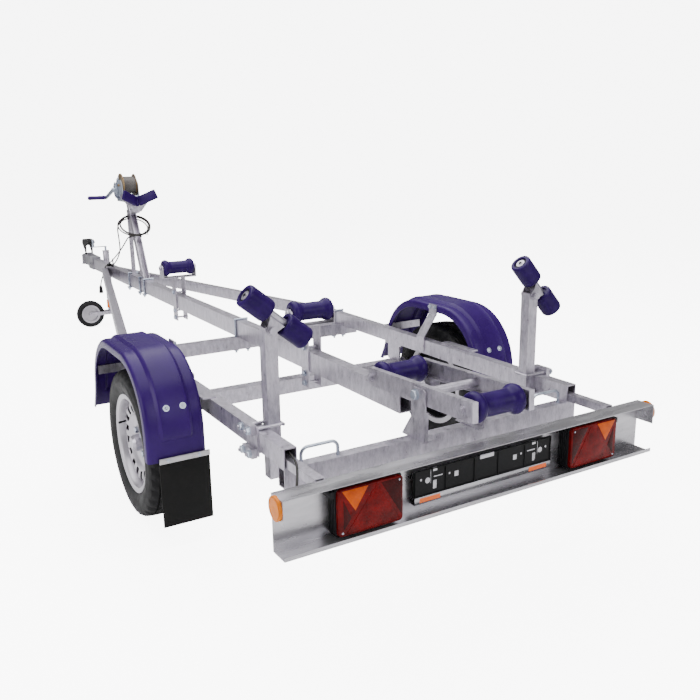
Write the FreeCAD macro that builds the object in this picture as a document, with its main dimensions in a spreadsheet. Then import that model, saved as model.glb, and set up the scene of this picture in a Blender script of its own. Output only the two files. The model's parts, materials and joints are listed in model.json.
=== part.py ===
"""Boat trailer: keel and two drawbar rails, torsion axle, keel and side rollers, winch, jack and light board.

X points forward to the coupling, Y to the left and Z up. In the text of a size, x is counted from the
wheel axle; the whole trailer is then moved so that the middle of its length lies at the origin.
All sizes are in millimetres and degrees.
"""
import FreeCAD, Part
import Sketcher
import math
import os
import re

Vec = FreeCAD.Vector
Turn = FreeCAD.Rotation

# Driving dimensions.
SIZES = {
    "nose_reach": 3950,
    "tail_reach": 1150,
    "keel_width": 50,
    "keel_height": 80,
    "keel_wall": 3,
    "keel_rear": 670,
    "keel_front": 3640,
    "frame_level": 440,
    "rail_width": 40,
    "rail_height": 60,
    "rail_wall": 3,
    "rail_middle": 542,
    "rail_rear": 890,
    "rail_bend": 800,
    "rail_tip": 3140,
    "cross_width": 40,
    "cross_height": 60,
    "cross_wall": 4,
    "front_cross_x": 690,
    "front_cross_reach": 640,
    "rear_cross_x": 850,
    "tyre_radius": 273,
    "tyre_width": 155,
    "rim_radius": 165,
    "rim_flange": 183,
    "rim_width": 132,
    "rim_wall": 4,
    "wheel_middle": 687,
    "axle_forward": 178,
    "axle_up": 57,
    "axle_side": 60,
    "axle_wall": 4,
    "arm_thickness": 26,
    "arm_round": 34,
    "stub_radius": 20,
    "fit_gap": 0.05,
    "hub_radius": 62,
    "soft_gap": 0.3,
    "bolt_gap": 0.3,
    "foot_plate": 6,
    "guard_top": 655,
    "guard_half": 352,
    "guard_width": 200,
    "guard_round": 260,
    "guard_wall": 3,
    "guard_lip": 42,
    "guard_panel": 48,
    "guard_ramp": 70,
    "guard_raise": 9,
    "guard_corner": 5,
    "guard_tab_z": 464,
    "guard_tab_height": 34,
    "strip_thickness": 2,
    "strip_height": 14,
    "guard_front_low": 285,
    "guard_rear_low": 330,
    "stay_width": 52,
    "stay_thickness": 5,
    "stay_x": 41,
    "flap_width": 165,
    "flap_thickness": 4,
    "flap_low": 85,
    "post_side": 40,
    "post_wall": 3,
    "post_x_left": 688,
    "post_x_right": 711,
    "post_low": 335,
    "post_gap": 1,
    "clamp_rod": 5,
    "clamp_plate": 6,
    "strap_width": 30,
    "head_z": 794,
    "head_rise": 40,
    "head_cheek": 5,
    "head_half": 32,
    "head_pin": 6,
    "head_lean_left": 39,
    "head_lean_right": 48,
    "side_roller_radius": 36,
    "side_roller_length": 90,
    "side_roller_bore": 8,
    "side_roller_well": 6,
    "side_roller_washer": 15,
    "keel_roller_radius": 46,
    "keel_roller_waist": 31,
    "keel_roller_length": 176,
    "keel_roller_bore": 9,
    "front_roller_x": 1600,
    "front_roller_z": 675,
    "middle_roller_x": -5,
    "middle_roller_z": 680,
    "bracket_half": 30,
    "bracket_plate": 6,
    "bracket_low": 370,
    "bogie_z": 583,
    "bogie_tilt": 2.0,
    "bogie_front": 258,
    "bogie_rear": 209,
    "bogie_side": 94,
    "bogie_foot_front": 70,
    "bogie_foot_rear": 45,
    "bogie_flange": 20,
    "bogie_height": 60,
    "bogie_plate": 4,
    "winch_post_foot": 2250,
    "winch_post_top": 2490,
    "winch_post_height": 490,
    "winch_post_width": 60,
    "winch_strut_x": 2510,
    "winch_x": 2490,
    "winch_z": 1115,
    "drum_radius": 70,
    "drum_core": 34,
    "drum_length": 84,
    "drum_plate": 3,
    "gear_module": 3,
    "gear_teeth": 48,
    "pinion_teeth": 12,
    "gear_width": 8,
    "gear_backlash": 0.8,
    "crank_ahead": 84,
    "shaft_radius": 8,
    "crank_reach": 200,
    "grip_length": 118,
    "grip_radius": 14,
    "bow_x": 2290,
    "bow_z": 985,
    "bow_span": 120,
    "bow_pad": 26,
    "bow_half": 28,
    "coupling_length": 390,
    "coupling_half": 32,
    "coupling_z": 505,
    "cup_radius": 36,
    "cup_lip": 3,
    "ball_radius": 25,
    "jack_x": 3480,
    "jack_side": 56,
    "jack_outer": 24,
    "jack_wall": 2.5,
    "jack_bore": 16,
    "jack_reach": 430,
    "jack_top": 585,
    "jack_low": 212,
    "band_low": 140,
    "band_high": 202,
    "band_radius": 27,
    "jack_foot": 98,
    "jockey_offset": 160,
    "jockey_radius": 104,
    "jockey_width": 46,
    "jockey_axle": 6,
    "board_x": 1055,
    "board_half": 681,
    "board_depth": 66,
    "board_low": 303,
    "board_top": 466,
    "board_wall": 2,
    "board_lip": 12,
    "arm_side": 29,
    "arm_tall": 27,
    "arm_front": 640,
    "lamp_inner": 272,
    "lamp_outer": 567,
    "lamp_low": 312,
    "lamp_high": 452,
    "lamp_depth": 48,
    "plate_half": 260,
    "plate_low": 352,
    "plate_high": 430,
    "plate_thickness": 8,
    "plate_stand": 14,
    "reflector_radius": 30,
    "reflector_z": 437,
    "loop_near": 380,
    "loop_far": 500,
    "loop_rod": 5,
    "loop_top": 485,
    "lead_width": 9,
    "lead_coil_radius": 97,
    "lead_coil_width": 12,
    "lead_coil_tilt": 35,
    "lead_coil_x": 2418.2,
    "lead_coil_z": 855,
    "plug_radius": 15,
    "plug_length": 60,
    "short_lead_width": 7,
    "wheel_bolt_circle": 50,
    "wheel_bolt": 6,
    "winch_cheek_gap": 11,
    "crank_y": 68,
    "gland_radius": 8,
}

doc = FreeCAD.newDocument("BoatTrailer")
sheet = doc.addObject("Spreadsheet::Sheet", "Sizes")
for row, (word, number) in enumerate(SIZES.items(), 1):
    sheet.set(f"A{row}", word)
    sheet.set(f"B{row}", str(number))
    sheet.setAlias(f"B{row}", word)
doc.recompute()

WORD = re.compile(r"[a-z][a-z_]*")
ORIGIN_X = "(tail_reach - nose_reach) / 2"


def formula(text):
    """The expression in which each word of the sheet is spelt out in full."""
    return WORD.sub(lambda m: "Sizes." + m.group() if m.group() in SIZES else m.group(), text)


def bind(thing, name, text):
    """Ties a property to an expression of the sheet's words."""
    thing.setExpression(name, formula(text))


def value(text):
    """The number that an expression of the sheet's words has now."""
    return float(sheet.evalExpression(formula(text)))


def place(thing, x, y, z, turn=None):
    """Puts a thing at a point counted from the wheel axle, on the ground, in the centre plane."""
    if turn is not None:
        thing.Placement = FreeCAD.Placement(Vec(0, 0, 0), turn)
    bind(thing, "Placement.Base.x", f"{ORIGIN_X} + ({x})")
    bind(thing, "Placement.Base.y", y)
    bind(thing, "Placement.Base.z", z)
    return thing


def box(name, x, y, z, length, width, height):
    """A block, given by its low corner and its three sizes."""
    thing = doc.addObject("Part::Box", name)
    bind(thing, "Length", length)
    bind(thing, "Width", width)
    bind(thing, "Height", height)
    return place(thing, x, y, z)


ALONG = {"x": Turn(Vec(0, 1, 0), 90), "y": Turn(Vec(1, 0, 0), -90), "z": Turn()}


def rod(name, axis, radius, length, x, y, z):
    """A round bar that starts at a point and runs along +X, +Y or +Z."""
    thing = doc.addObject("Part::Cylinder", name)
    bind(thing, "Radius", radius)
    bind(thing, "Height", length)
    return place(thing, x, y, z, ALONG[axis])


def joined(name, *things):
    thing = doc.addObject("Part::MultiFuse", name)
    thing.Shapes = list(things)
    return thing


def welded(name, first, *others):
    """Pieces joined one after another, for many round bars that cross."""
    for i, other in enumerate(others):
        weld = doc.addObject("Part::Fuse", f"{name}{i}" if i < len(others) - 1 else name)
        weld.Base = first
        weld.Tool = other
        first = weld
    return first


def cut(name, base, *tools):
    thing = doc.addObject("Part::Cut", name)
    thing.Base = base
    thing.Tool = tools[0] if len(tools) == 1 else joined(name + "Tools", *tools)
    return thing


def group(name, *things):
    """Separate solids that share one node."""
    thing = doc.addObject("Part::Compound", name)
    thing.Links = list(things)
    return thing


def mirrored(name, thing):
    """The same thing on the other side of the centre plane."""
    copy = doc.addObject("Part::Mirroring", name)
    copy.Source = thing
    copy.Base = Vec(0, 0, 0)
    copy.Normal = Vec(0, 1, 0)
    return copy


def outline(body, points):
    """A closed sketch of straight lines, each corner tied to two expressions."""
    sketch = body.newObject("Sketcher::SketchObject", body.Name + "Outline")
    plane = [part for part in body.Origin.OriginFeatures if part.Role == "XY_Plane"][0]
    sketch.AttachmentSupport = [(plane, "")]
    sketch.MapMode = "FlatFace"
    spots = [Vec(value(a), value(b), 0) for a, b in points]
    count = len(spots)
    for i in range(count):
        sketch.addGeometry(Part.LineSegment(spots[i], spots[(i + 1) % count]), False)
    for i in range(count):
        sketch.addConstraint(Sketcher.Constraint("Coincident", i, 2, (i + 1) % count, 1))
    for i, (a, b) in enumerate(points):
        for kind, text in (("DistanceX", a), ("DistanceY", b)):
            index = sketch.addConstraint(Sketcher.Constraint(kind, -1, 1, i, 1, value(text)))
            bind(sketch, f"Constraints[{index}]", text)
    return sketch


# A plate drawn in X and Z that grows toward the right, and one drawn in Y and Z that grows forward.
UPRIGHT = Turn(Vec(1, 0, 0), 90)
ACROSS = Turn(Vec(1, 1, 1), 120)


def slab(name, points, thickness, x, y, z, turn=UPRIGHT):
    """A flat piece of any outline."""
    body = doc.addObject("PartDesign::Body", name)
    pad = body.newObject("PartDesign::Pad", name + "Pad")
    pad.Profile = outline(body, points)
    bind(pad, "Length", thickness)
    body.Tip = pad
    doc.recompute()
    return place(body, x, y, z, turn)


def turned(name, points, x, y, z, turn=Turn()):
    """A turned piece: radius and place along the axis, which is Y unless the piece is turned."""
    body = doc.addObject("PartDesign::Body", name)
    lathe = body.newObject("PartDesign::Revolution", name + "Lathe")
    sketch = outline(body, points)
    lathe.Profile = sketch
    lathe.ReferenceAxis = (sketch, ["V_Axis"])
    lathe.Angle = 360
    body.Tip = lathe
    doc.recompute()
    return place(body, x, y, z, turn)


def rounded(body, radius, chosen):
    """Rounds the edges of a body's tip that a rule picks out."""
    tip = body.Tip
    names = [f"Edge{i}" for i, edge in enumerate(tip.Shape.Edges, 1) if chosen(edge)]
    fillet = body.newObject("PartDesign::Fillet", body.Name + "Round")
    fillet.Base = (tip, names)
    bind(fillet, "Radius", radius)
    body.Tip = fillet
    doc.recompute()
    return body


def made(name, shape, spot=FreeCAD.Placement()):
    """A piece whose shape is worked out here, at a spot counted from the wheel axle."""
    thing = doc.addObject("Part::Feature", name)
    thing.Shape = shape
    thing.Placement = FreeCAD.Placement(Vec(value(ORIGIN_X), 0, 0), Turn()).multiply(spot)
    return thing


def bent_tube(points, width, height, wall):
    """A rectangular tube along a bent centre line that stays level; the ends stay open."""
    def skin(w, h):
        half = w / 2
        sides = []
        for sign in (1, -1):
            side = []
            for i, p in enumerate(points):
                before = (p - points[i - 1]).normalize() if i else None
                after = (points[i + 1] - p).normalize() if i + 1 < len(points) else None
                way = (before or after) + (after or before)
                way = way.normalize()
                square = Vec(-way.y, way.x, 0)
                lean = (before or after).dot(way)
                side.append(p + square * (sign * half / lean))
            sides.append(side)
        ring = sides[0] + sides[1][::-1]
        low = [q - Vec(0, 0, h / 2) for q in ring]
        return Part.Face(Part.makePolygon(low + [low[0]])).extrude(Vec(0, 0, h))
    return skin(width, height).cut(skin(width - 2 * wall, height - 2 * wall))


NODES = {}


def keep(name, thing):
    thing.Label = name
    NODES[name] = thing
    return thing


def hollow_bar(name, axis, sizes, wall, *corner):
    """A rectangular tube from its low corner, open at both ends, with its sizes along X, Y and Z."""
    outer = box(name + "Outer", *corner, *sizes)
    inner = box(name + "Inner", *[f"{at} - 1" if way == axis else f"{at} + {wall}" for way,
                                  at in zip("xyz", corner)],
                *[f"{size} + 2" if way == axis else f"{size} - 2 * {wall}" for way,
                  size in zip("xyz", sizes)])
    return cut(name, outer, inner)


# Frame.
keep("keel_beam", hollow_bar("Keel", "x", ("keel_front + keel_rear", "keel_width", "keel_height"),
                             "keel_wall",
                             "-keel_rear", "-keel_width / 2", "frame_level"))


def drawbar_rail():
    """A side rail that runs straight past the wheel and then slants in to the side of the keel."""
    level = SIZES["frame_level"] + SIZES["rail_height"] / 2
    tip_side = (SIZES["keel_width"] + SIZES["rail_width"]) / 2
    points = [Vec(-SIZES["rail_rear"], SIZES["rail_middle"], level),
              Vec(SIZES["rail_bend"], SIZES["rail_middle"], level),
              Vec(SIZES["rail_tip"], tip_side, level)]
    tube = bent_tube(points, SIZES["rail_width"], SIZES["rail_height"], SIZES["rail_wall"])
    keel_side = SIZES["keel_width"] / 2
    far = SIZES["rail_tip"] + SIZES["rail_width"]
    keel = Part.makeBox(2 * far, keel_side + far, 2 * level, Vec(-far, -far, 0))
    return tube.cut(keel)


rail = made("RailLeft", drawbar_rail())
keep("drawbar_rail_left", rail)
keep("drawbar_rail_right", mirrored("RailRight", rail))

front_beam = hollow_bar("FrontCross", "y", ("cross_width", "2 * front_cross_reach", "cross_height"),
                        "cross_wall",
                        "front_cross_x", "-front_cross_reach", "frame_level - cross_height")
rear_beam = hollow_bar("RearCross", "y", ("cross_width", "2 * rail_middle + rail_width", "cross_height"),
                       "cross_wall", "-rear_cross_x - cross_width", "-rail_middle - rail_width / 2",
                       "frame_level - cross_height")

# Axle: a square tube with a trailing arm and a stub shaft at each end.
AXLE_Z = "tyre_radius + axle_up"
ARM_Y = "rail_middle + rail_width / 2 - 6"
tube = hollow_bar("AxleTube", "y", ("axle_side", f"2 * ({ARM_Y})", "axle_side"), "axle_wall",
                  "axle_forward - axle_side / 2", f"-({ARM_Y})", f"{AXLE_Z} - axle_side / 2")


def trailing_arm():
    """A rounded arm from the tube's end back to the stub shaft."""
    face_y = value(ARM_Y)
    front = Vec(SIZES["axle_forward"], face_y, SIZES["tyre_radius"] + SIZES["axle_up"])
    rear = Vec(0, face_y, SIZES["tyre_radius"])
    radius = SIZES["arm_round"]
    way = (rear - front).normalize()
    square = Vec(-way.z, 0, way.x) * radius
    edge = [Part.Arc(front - square, front - way * radius, front + square).toShape(),
            Part.LineSegment(front + square, rear + square).toShape(),
            Part.Arc(rear + square, rear + way * radius, rear - square).toShape(),
            Part.LineSegment(rear - square, front - square).toShape()]
    return Part.Face(Part.Wire(edge)).extrude(Vec(0, SIZES["arm_thickness"], 0))


arm = made("ArmLeft", trailing_arm())
stub = rod("StubLeft", "y", "stub_radius", f"wheel_middle + 33 - ({ARM_Y}) - arm_thickness + 1",
           "0", f"{ARM_Y} + arm_thickness - 1", "tyre_radius")
half = joined("AxleEndLeft", arm, stub)
hanger = box("HangerLeft", "axle_forward - axle_side / 2 - 15", "rail_middle - rail_width / 2 + 4",
             f"{AXLE_Z} + axle_side / 2", "axle_side + 30", "8", f"frame_level - ({AXLE_Z}) - axle_side / 2")
hanger_foot = box("HangerFootLeft", "axle_forward - axle_side / 2 - 35", "rail_middle - rail_width / 2",
                  "frame_level - 8", "axle_side + 70", "rail_width", "8")
hangers = joined("HangersLeft", hanger, hanger_foot)
keep("axle_beam", joined("AxleBeam", tube, half, mirrored("AxleEndRight", half), hangers,
                         mirrored("HangersRight", hangers)))

# Road wheels.
TYRE = [("rim_radius + soft_gap", "-rim_width / 2 + 8"), ("rim_flange + 3", "-rim_width / 2 + 4"),
        ("rim_flange + 10", "-tyre_width / 2 + 6"), ("(rim_flange + tyre_radius) / 2", "-tyre_width / 2"),
        ("tyre_radius - 16", "-tyre_width / 2 + 6"), ("tyre_radius - 3", "-tyre_width / 2 + 18"),
        ("tyre_radius", "-tyre_width / 2 + 34"),
        ("tyre_radius", "tyre_width / 2 - 34"), ("tyre_radius - 3", "tyre_width / 2 - 18"),
        ("tyre_radius - 16", "tyre_width / 2 - 6"), ("(rim_flange + tyre_radius) / 2", "tyre_width / 2"),
        ("rim_flange + 10", "tyre_width / 2 - 6"), ("rim_flange + 3", "rim_width / 2 - 4"),
        ("rim_radius + soft_gap", "rim_width / 2 - 8")]
RIM = [("rim_radius - rim_wall", "-rim_width / 2"), ("rim_flange", "-rim_width / 2"),
       ("rim_flange", "-rim_width / 2 + 3.5"), ("rim_radius", "-rim_width / 2 + 7"),
       ("rim_radius", "rim_width / 2 - 7"), ("rim_flange", "rim_width / 2 - 3.5"),
       ("rim_flange", "rim_width / 2"), ("rim_radius - rim_wall", "rim_width / 2"),
       ("rim_radius - rim_wall", "34"), ("135", "44"), ("96", "38"), ("78", "26"), ("30", "26"),
       ("30", "22"), ("80", "22"), ("98", "34"), ("134", "40"), ("rim_radius - rim_wall", "30")]
HUB = [("stub_radius + fit_gap", "-72"), ("hub_radius", "-72"), ("hub_radius", "22"), ("29.7", "22"),
       ("29.7", "52"), ("22", "62"), ("0", "62"), ("0", "34"), ("stub_radius + fit_gap", "34")]
tyre = turned("TyreLeft", TYRE, "0", "wheel_middle", "tyre_radius")
rim = turned("RimLeft", RIM, "0", "wheel_middle", "tyre_radius")
hub = turned("HubLeft", HUB, "0", "wheel_middle", "tyre_radius")
vents = [rod(f"Vent{i}", "y", "11", "60", f"116 * cos({22.5 + 45 * i})", "wheel_middle + 10",
             f"tyre_radius + 116 * sin({22.5 + 45 * i})") for i in range(8)]
bolt_holes, wheel_bolts = [], []
for i in range(4):
    bolt_x = f"wheel_bolt_circle * cos({45 + 90 * i})"
    bolt_z = f"tyre_radius + wheel_bolt_circle * sin({45 + 90 * i})"
    bolt_holes.append(rod(f"BoltHole{i}", "y", "wheel_bolt + bolt_gap", "40", bolt_x, "wheel_middle",
                          bolt_z))
    wheel_bolts += [rod(f"WheelBolt{i}", "y", "wheel_bolt", "24", bolt_x, "wheel_middle + 10", bolt_z),
                    rod(f"WheelBoltHead{i}", "y", "wheel_bolt + 4", "9", bolt_x,
                        "wheel_middle + 26 + bolt_gap", bolt_z)]
wheel = {"tyre": tyre, "rim": cut("RimVentedLeft", rim, *vents, *bolt_holes),
         "hub": joined("HubBoltedLeft", hub, *wheel_bolts)}
for name, thing in wheel.items():
    keep(f"{name}_left", thing)
    keep(f"{name}_right", mirrored(f"{name.title()}Right", thing))


# Mudguards: one moulded section, with a raised middle and a lip down each side, swept over the wheel.
def guard_skin():
    """The section is drawn across the guard (w) and outward from the crown (h)."""
    size = SIZES
    half_width = size["guard_width"] / 2
    wall, low = size["guard_wall"], size["guard_raise"]
    corner, lip = size["guard_corner"], size["guard_lip"]
    ramp = wall * 0.4
    side = [(half_width, -lip), (half_width, -low - corner), (half_width - corner, -low),
            (size["guard_ramp"], -low), (size["guard_panel"], 0)]
    under = [(size["guard_panel"] - ramp, -wall), (size["guard_ramp"] - ramp, -low - wall),
             (half_width - corner - ramp, -low - wall), (half_width - wall,
                                                         -low - corner - ramp), (half_width - wall, -lip)]
    section = side + [(-w, h) for w, h in reversed(side)] + [(-w, h) for w, h in reversed(under)] + under
    reach, top, bend = size["guard_half"], size["guard_top"], size["guard_round"]
    middle = size["wheel_middle"]
    corners = [Vec(reach, middle, size["guard_front_low"]), Vec(reach, middle, top - bend),
               Vec(reach - bend, middle, top), Vec(bend - reach, middle, top),
               Vec(-reach, middle, top - bend), Vec(-reach, middle, size["guard_rear_low"])]
    give = bend * (1 - math.sqrt(0.5))
    path = Part.Wire([Part.LineSegment(corners[0], corners[1]).toShape(),
                      Part.Arc(corners[1], Vec(reach - give, middle, top - give), corners[2]).toShape(),
                      Part.LineSegment(corners[2], corners[3]).toShape(),
                      Part.Arc(corners[3], Vec(give - reach, middle, top - give), corners[4]).toShape(),
                      Part.LineSegment(corners[4], corners[5]).toShape()])
    ring = [corners[0] + Vec(h, w, 0) for w, h in section]
    shell = path.makePipeShell([Part.makePolygon(ring + [ring[0]])], True, True)
    return shell if shell.Volume > 0 else shell.reversed()


GUARD_Y = "wheel_middle - guard_width / 2"
RAIL_OUT = "rail_middle + rail_width / 2"
INNER_ROUND = "(guard_round - guard_raise - guard_wall)"
TAB_RISE = "(guard_tab_z + guard_tab_height - guard_top + guard_round)"
TAB_INSET = f"sqrt({INNER_ROUND} * {INNER_ROUND} - {TAB_RISE} * {TAB_RISE})"
TAB_X = f"guard_half - guard_round + {TAB_INSET} - stay_thickness - bolt_gap"
bracket_notch = box("GuardNotch", f"{TAB_X} - 1", f"{GUARD_Y} - 1", "guard_tab_z - 1",
                    "stay_thickness + 2", "guard_wall + 4", "guard_tab_height + 2")
guard = cut("GuardLeft", made("GuardSkin", guard_skin()), bracket_notch)
keep("mudguard_left", guard)
keep("mudguard_right", mirrored("GuardRight", guard))

FLAP_X = "-guard_half + guard_raise + guard_wall"
flap = box("FlapLeft", FLAP_X, "wheel_middle - flap_width / 2", "flap_low",
           "flap_thickness", "flap_width", "guard_rear_low + 45 - flap_low")
keep("mud_flaps", group("MudFlaps", flap, mirrored("FlapRight", flap)))
strip = box("StripLeft", f"{FLAP_X} - strip_thickness", "wheel_middle - flap_width / 2",
            "guard_rear_low - strip_height - 1",
            "strip_thickness", "flap_width", "strip_height")
keep("flap_strips", group("FlapStrips", strip, mirrored("StripRight", strip)))

STAY_IN = "-(rail_middle - rail_width / 2)"
STAY_OUT = f"-({GUARD_Y})"
stay = slab("StayRight", [(f"{STAY_IN} + stay_thickness", "frame_level + 14"),
                          (STAY_IN, "frame_level + 14"),
                         (STAY_IN, "frame_level + 72"), (STAY_OUT, "frame_level + 165"),
                         (STAY_OUT, "guard_top - 8"), (f"{STAY_OUT} + stay_thickness", "guard_top - 8"),
                         (f"{STAY_OUT} + stay_thickness", "frame_level + 163"),
                         (f"{STAY_IN} + stay_thickness", "frame_level + 74")],
            "stay_width", "-stay_x - stay_width / 2", "0", "0", ACROSS)
front_tab = box("GuardTabLeft", TAB_X, RAIL_OUT, "guard_tab_z",
                "stay_thickness", f"{GUARD_Y} + guard_width - guard_wall - 12 - ({RAIL_OUT})", "guard_tab_height")
front_foot = box("GuardTabFootLeft", f"{TAB_X} - 46", RAIL_OUT, "guard_tab_z",
                 "48", "stay_thickness", "guard_tab_height")
rear_tab = box("GuardRearTabLeft", "-guard_half + guard_raise + 2", "rail_middle",
               "frame_level + rail_height",
               "190", f"{GUARD_Y} - rail_middle", "stay_thickness")
front_bracket = joined("GuardFrontLeft", front_tab, front_foot)
keep("guard_stays", group("GuardStays", stay, front_bracket, rear_tab, mirrored("StayOther", stay),
                          mirrored("GuardFrontOther", front_bracket), mirrored("GuardRearOther", rear_tab)))

KEEL_TOP = "frame_level + keel_height"

# U-bolts that hold the front cross-member to the rails and the keel.


def u_bolt(name, x, half, top, seat, rod_radius, y="0", plate=False):
    """A bent rod over a beam that runs forward, with a nut on each leg below its seat."""
    low = f"{seat} - 3.6 * {rod_radius}"
    parts = []
    for i, sign in enumerate("-+"):
        at_y = f"{y} {sign} ({half})"
        parts.append(rod(f"{name}Leg{i}", "z", rod_radius, f"{top} - ({low})", x, at_y, low))
        parts.append(rod(f"{name}Nut{i}", "z", f"2 * {rod_radius}", f"1.6 * {rod_radius}",
                         x, at_y, f"{seat} - 1.6 * {rod_radius}"))
    parts.append(rod(f"{name}Top", "y", rod_radius, f"2 * ({half}) + 2 * {rod_radius}", x,
                     f"{y} - ({half}) - {rod_radius}", top))
    if plate:
        parts.append(box(f"{name}Plate", f"{x} - 15", f"{y} - ({half}) - 12", seat, "30",
                         f"2 * ({half}) + 24", "6"))
    return joined(name, *parts)


def drilled(name, beam, x, sides, radius):
    """A cross-member with upright holes at the given places to the left and right of the centre plane."""
    holes = []
    for i, y in enumerate(sides):
        for sign in ("", "-"):
            holes.append(rod(f"{name}Hole{sign or '+'}{i}".replace("+", "L").replace("-", "R"), "z", radius,
                             "cross_height + 2", x, f"{sign}({y})", "frame_level - cross_height - 1"))
    return cut(name, beam, *holes)


CROSS_LOW = "frame_level - cross_height"
FRONT_MIDDLE = "front_cross_x + cross_width / 2"
REAR_MIDDLE = "-rear_cross_x - cross_width / 2"
RAIL_HALF = "(rail_width / 2 + clamp_rod + bolt_gap)"
KEEL_HALF = "(keel_width / 2 + clamp_rod + bolt_gap)"
rail_bolt = u_bolt("RailBoltLeft", FRONT_MIDDLE, RAIL_HALF, "frame_level + rail_height + clamp_rod",
                   CROSS_LOW,
                   "clamp_rod", "rail_middle")
bolts = [rail_bolt, mirrored("RailBoltRight", rail_bolt),
         u_bolt("KeelBolt", FRONT_MIDDLE, KEEL_HALF, "frame_level + keel_height + clamp_rod", CROSS_LOW,
                "clamp_rod")]
for i, x in enumerate(("winch_post_foot - 50", "winch_post_foot + 50", "winch_strut_x + 34")):
    bolts.append(u_bolt(f"PostBolt{i}", x, KEEL_HALF, "frame_level + keel_height + foot_plate + clamp_rod",
                        "frame_level - 6", "clamp_rod", plate=True))
keep("clamp_bolts", group("ClampBolts", *bolts))
front_drilled = drilled("FrontCrossDrilled", front_beam, FRONT_MIDDLE,
                        (f"rail_middle - {RAIL_HALF}", f"rail_middle + {RAIL_HALF}",
                         KEEL_HALF), "clamp_rod + bolt_gap")

# Tie-down loops: two U-bolts that stand above the rear cross-member.
loop = u_bolt("LoopLeft", REAR_MIDDLE, "(loop_far - loop_near) / 2", "loop_top", CROSS_LOW, "loop_rod",
              "(loop_near + loop_far) / 2")
keep("tie_down_loops", group("TieDownLoops", loop, mirrored("LoopRight", loop)))
rear_drilled = drilled("RearCrossDrilled", rear_beam, REAR_MIDDLE, ("loop_near", "loop_far"),
                       "loop_rod + bolt_gap")
keep("cross_members", group("CrossMembers", front_drilled, rear_drilled))

# Side roller posts on the inner side of the rails, each clamped round the rail, with a pivot bolt at its top.
POST_Y = "rail_middle - rail_width / 2 - post_gap - post_side"
POST_MIDDLE = f"({POST_Y} + post_side / 2)"


def roller_post(side, x):
    """The left-hand post at its own place along the rail."""
    name = f"Post{side}"
    tube = hollow_bar(f"{name}Tube", "z", ("post_side", "post_side", "head_z + 8 - post_low"), "post_wall",
                      f"{x} - post_side / 2", POST_Y, "post_low")
    parts = [box(f"{name}Plate", f"{x} - post_side / 2 - 18", RAIL_OUT, "frame_level - 16",
                 "post_side + 36", "clamp_plate", "rail_height + 32"),
             box(f"{name}Foot", f"{x} - post_side / 2", f"{POST_Y} + post_side - 0.5", "frame_level + 4",
                 "post_side", "post_gap + 0.5", "rail_height - 8")]
    for i, level in enumerate(("frame_level - clamp_rod - 1", "frame_level + rail_height + clamp_rod + 1")):
        for j, sign in enumerate("-+"):
            at_x = f"{x} {sign} (post_side / 2 + clamp_rod - 0.5)"
            parts.append(rod(f"{name}Leg{i}{j}", "y", "clamp_rod",
                             f"{RAIL_OUT} + clamp_plate + 34 + clamp_rod - ({POST_Y})", at_x, f"{POST_Y} - clamp_rod", level))
            parts.append(rod(f"{name}Nut{i}{j}", "y", "2 * clamp_rod", "1.6 * clamp_rod", at_x,
                             f"{RAIL_OUT} + clamp_plate + 18", level))
        parts.append(rod(f"{name}Back{i}", "x", "clamp_rod", "post_side + 4 * clamp_rod",
                         f"{x} - post_side / 2 - 2 * clamp_rod", f"{POST_Y} - clamp_rod + 0.5", level))
        parts.append(box(f"{name}Strap{i}", f"{x} - post_side / 2 - 13", f"{RAIL_OUT} + clamp_plate - 0.5",
                         f"{level} - strap_width / 2", "post_side + 26", "18.5", "strap_width"))
    parts.append(rod(f"{name}Pin", "x", "head_pin", "post_side + 2 * head_cheek + 20",
                     f"{x} - post_side / 2 - head_cheek - 10", POST_MIDDLE, "head_z"))
    for i, (sign, length) in enumerate((("-", "head_cheek + 9"), ("+", "head_cheek + 1"))):
        start = f"{x} {sign} (post_side / 2 + {length})" + (" - 6" if sign == "-" else "")
        parts.append(rod(f"{name}PinNut{i}", "x", "head_pin + 5", "6", start, POST_MIDDLE, "head_z"))
    return welded(name, tube, *parts)


def rocking_head(side, x, lean):
    """A cradle over the post with a roller on each end of its spindle, turned to its lean."""
    name = f"Head{side}"
    size = SIZES
    half = size["head_half"]
    rise = size["head_rise"]
    inner = size["post_side"] / 2 + 1
    pieces = []
    for way in (1, -1):
        cheek = Part.Face(Part.makePolygon([Vec(way * inner, y, z) for y, z in
                                            ((-13, -6), (-7, -13), (7, -13), (13, -6), (28, rise - 9),
                                             (-28, rise - 9), (-13, -6))]))
        cheek = cheek.extrude(Vec(way * size["head_cheek"], 0, 0))
        bore = Part.makeCylinder(size["head_pin"] + size["fit_gap"], 100, Vec(-50, 0, 0), Vec(1, 0, 0))
        pieces.append(cheek.cut(bore))
    wide = inner + size["head_cheek"]
    pieces.append(Part.makeBox(2 * wide, 2 * half - 8, 5, Vec(-wide, 4 - half, rise - 14)))
    pieces.append(Part.makeCylinder(size["side_roller_bore"] + 5, 2 * half, Vec(0, -half, rise),
                                    Vec(0, 1, 0)))
    reach = half + size["side_roller_length"] - size["side_roller_well"]
    spindle = Part.makeCylinder(size["side_roller_bore"] - size["fit_gap"], 2 * reach + 9,
                                Vec(0, -reach - 4.5, rise), Vec(0, 1, 0))
    pieces.append(spindle)
    for way in (1, -1):
        pieces.append(Part.makeCylinder(size["side_roller_washer"], 2.5,
                                        Vec(0, way * (reach + size["bolt_gap"]), rise), Vec(0, way, 0)))
    solid = pieces[0].fuse(pieces[1:])
    for way in (1, -1):
        solid = solid.cut(Part.makeCylinder(5, 6, Vec(0, way * (reach + 7), rise), Vec(0, -way, 0)))
    spot = FreeCAD.Placement(Vec(value(x), value(POST_MIDDLE), size["head_z"]), Turn(Vec(1, 0, 0), lean))
    return made(name, solid, spot)


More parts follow.
